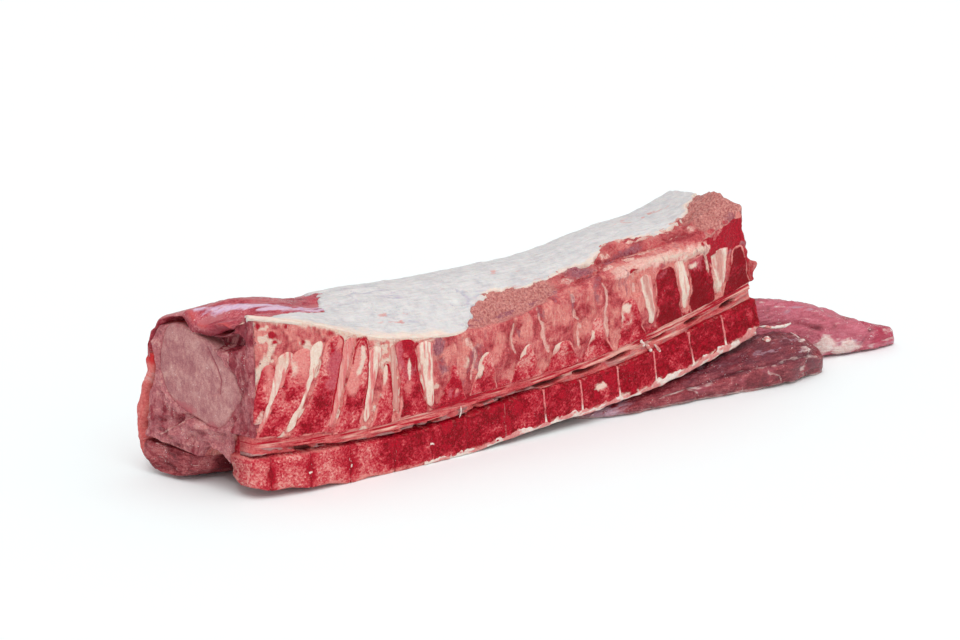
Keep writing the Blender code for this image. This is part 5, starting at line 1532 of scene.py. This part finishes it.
def chineFringe():
    # Ragged strip of pale fat and membrane hanging under the bodies
    settings = {"rows": 700, "columns": 9, "reach": (13.6, 44.7), "back": 0.35,
                "low": (13.6, 0.1, 15, -0.02, 17.6, 0.0, 19.4, 0.2, 21.2, 0.25, 23.6, 0.3, 28, 0.1, 34,
                        -0.25,
                        40, -0.3, 44.7, -0.35)}
    s = np.linspace(*settings["reach"], settings["rows"])[:, None]
    across = np.linspace(0, 1, settings["columns"])[None, :]
    low = keyed(s, *settings["low"]) + 0.1 * noise(s, 3, 0, 1.2, 184, 2) * fade(s, 23, 26)
    low = np.maximum(low - 0.1, floorHeight(s) + 0.02)
    high = chineBottom(s) + 0.3 + 0.16 * noise(s, 0, 0, 0.5, 181, 3)
    z = low + across * (high - low)
    y = -0.06 + 0.05 * noise(s, z, 0, 0.5, 182, 2) + 0.1 * (2 * across - 1) ** 6
    front = np.stack([s + 0 * z, y, z], -1)
    back = np.stack([s + 0 * z, settings["back"] + 0 * z, z], -1)
    values = {"pink": 0.3 + 0.7 * fade(noise(s, 0, z, (0.8, 1, 0.3), 183, 2), -0.3, 0.4)}
    sheetPiece("chineFringe", toScene(front), toScene(back), values, paint["fatBit"], "fat")


# small strands and blobs of fat: thickness, seed, whether it lies with the tenderloin, then its corners
threads = {
    "canalThread": (0.045, 201, False, (16.9, 0.0, 3.75), (16.85, -0.06, 3.3), (16.8, 0.1, 2.85)),
    "canalTag1": (0.15, 211, False, (33.98, 0.3, 3.95), (34.1, 0.02, 3.6), (34.26, 0.08, 3.3)),
    "canalTag2": (0.12, 214, False, (34.58, 0.3, 3.25), (34.7, 0.02, 2.9), (34.86, 0.08, 2.6)),
    "canalTag3": (0.12, 217, False, (35.38, 0.3, 2.95), (35.5, 0.02, 2.6), (35.66, 0.08, 2.3)),
    "crestTag": (0.13, 231, False, (39.6, 0.2, 8.35), (40.2, 0.02, 8.6), (40.8, 0.0, 8.35),
                 (41.3, 0.05, 8.2)),
    "roundTag": (0.3, 241, True, (44.1, -0.1, 3.2), (44.2, -0.2, 3.45), (44.2, -0.1, 3.7)),
    "foldTag": (0.13, 251, True, (44.6, 1.2, 4.1), (45.6, 0.75, 3.95), (46.8, 0.7, 3.85), (47.8, 1.0, 3.9)),
}


loinMeat()
cutEnd()
eyeMuscle()
print("loin meat, cut end and eye muscle made")
capMuscle()
fatCap()
flankMuscle()
ribFlap()
print("top muscle, fat, flank muscle and flap made")
for spine in range(len(spines)):
    bonePiece(spine)
for number in range(len(discPlaces)):
    discPiece(number)
for number in range(len(ligaments)):
    ligamentPiece(number)
canalLining()
chineFringe()
print("bones, discs, ligaments and canal made")
tenderloinHead()
tenderloinLobe()
for name, settings in threads.items():
    fatThread(name, *settings)
print("tenderloin and small pieces made")


studio = {
    "lens": 100.0, "sensor": 36.0, "eye": (-0.87686, -1.46133, 0.65120), "aim": (0.5621, 0.7737, -0.2924),
    "sky": 0.66, "floorReach": 6.0, "floorColours": ((246, 255, 255), (246, 251, 252)), "floorRough": 0.9,
    # suns with a wide angle, so the floor is lit evenly: place, strength and angle of each
    "lights": {"keyLight": ((-0.4, -0.5, 1.6), 1.0, 40), "fillLight": ((0.8, -1.7, 1.0), 0.5, 70),
               "glintLight": ((-0.9, -1.2, 1.5), 0.3, 5)},
}


def floorPaper():
    # Floor finish: nearly even, with faint large clouds
    material = bpy.data.materials.new("floorPaper")
    material.use_nodes = True
    tree = material.node_tree
    where = put(tree, "ShaderNodeTexCoord").outputs["Object"]
    clouds = grain(tree, where, 0.35, 2.0)
    shader = tree.nodes["Principled BSDF"]
    colours = [tone(*colour) for colour in studio["floorColours"]]
    tree.links.new(blend(tree, clouds, *colours), shader.inputs["Base Color"])
    shader.inputs["Roughness"].default_value = studio["floorRough"]
    return material


def aimed(name, data, place, direction):
    # Adds a lamp or camera that looks in a direction
    thing = bpy.data.objects.new(name, data)
    thing.location = place
    thing.rotation_euler = Vector(direction).to_track_quat("-Z", "Y").to_euler()
    bpy.context.scene.collection.objects.link(thing)
    return thing


def makeStudio():
    # Pale floor, even sky, soft suns and the camera
    reach = studio["floorReach"]
    mesh = bpy.data.meshes.new("floor")
    corners = [(-reach, -reach, 0), (reach, -reach, 0), (reach, reach, 0), (-reach, reach, 0)]
    mesh.from_pydata(corners, [], [(0, 1, 2, 3)])
    mesh.materials.append(floorPaper())
    floor = bpy.data.objects.new("floor", mesh)
    bpy.context.scene.collection.objects.link(floor)

    world = bpy.data.worlds.new("studio")
    bpy.context.scene.world = world
    world.use_nodes = True
    background = world.node_tree.nodes["Background"]
    background.inputs["Color"].default_value = (1, 1, 1, 1)
    background.inputs["Strength"].default_value = studio["sky"]

    for name, (place, strength, spread) in studio["lights"].items():
        lamp = bpy.data.lights.new(name, "SUN")
        lamp.energy, lamp.angle = strength, math.radians(spread)
        aimed(name, lamp, place, -Vector(place))

    camera = bpy.data.cameras.new("camera")
    camera.lens, camera.sensor_width = studio["lens"], studio["sensor"]
    place = Vector(studio["eye"]) + Vector(layoutZero)
    bpy.context.scene.camera = aimed("camera", camera, place, studio["aim"])
    bpy.context.scene.view_settings.view_transform = "Standard"


makeStudio()
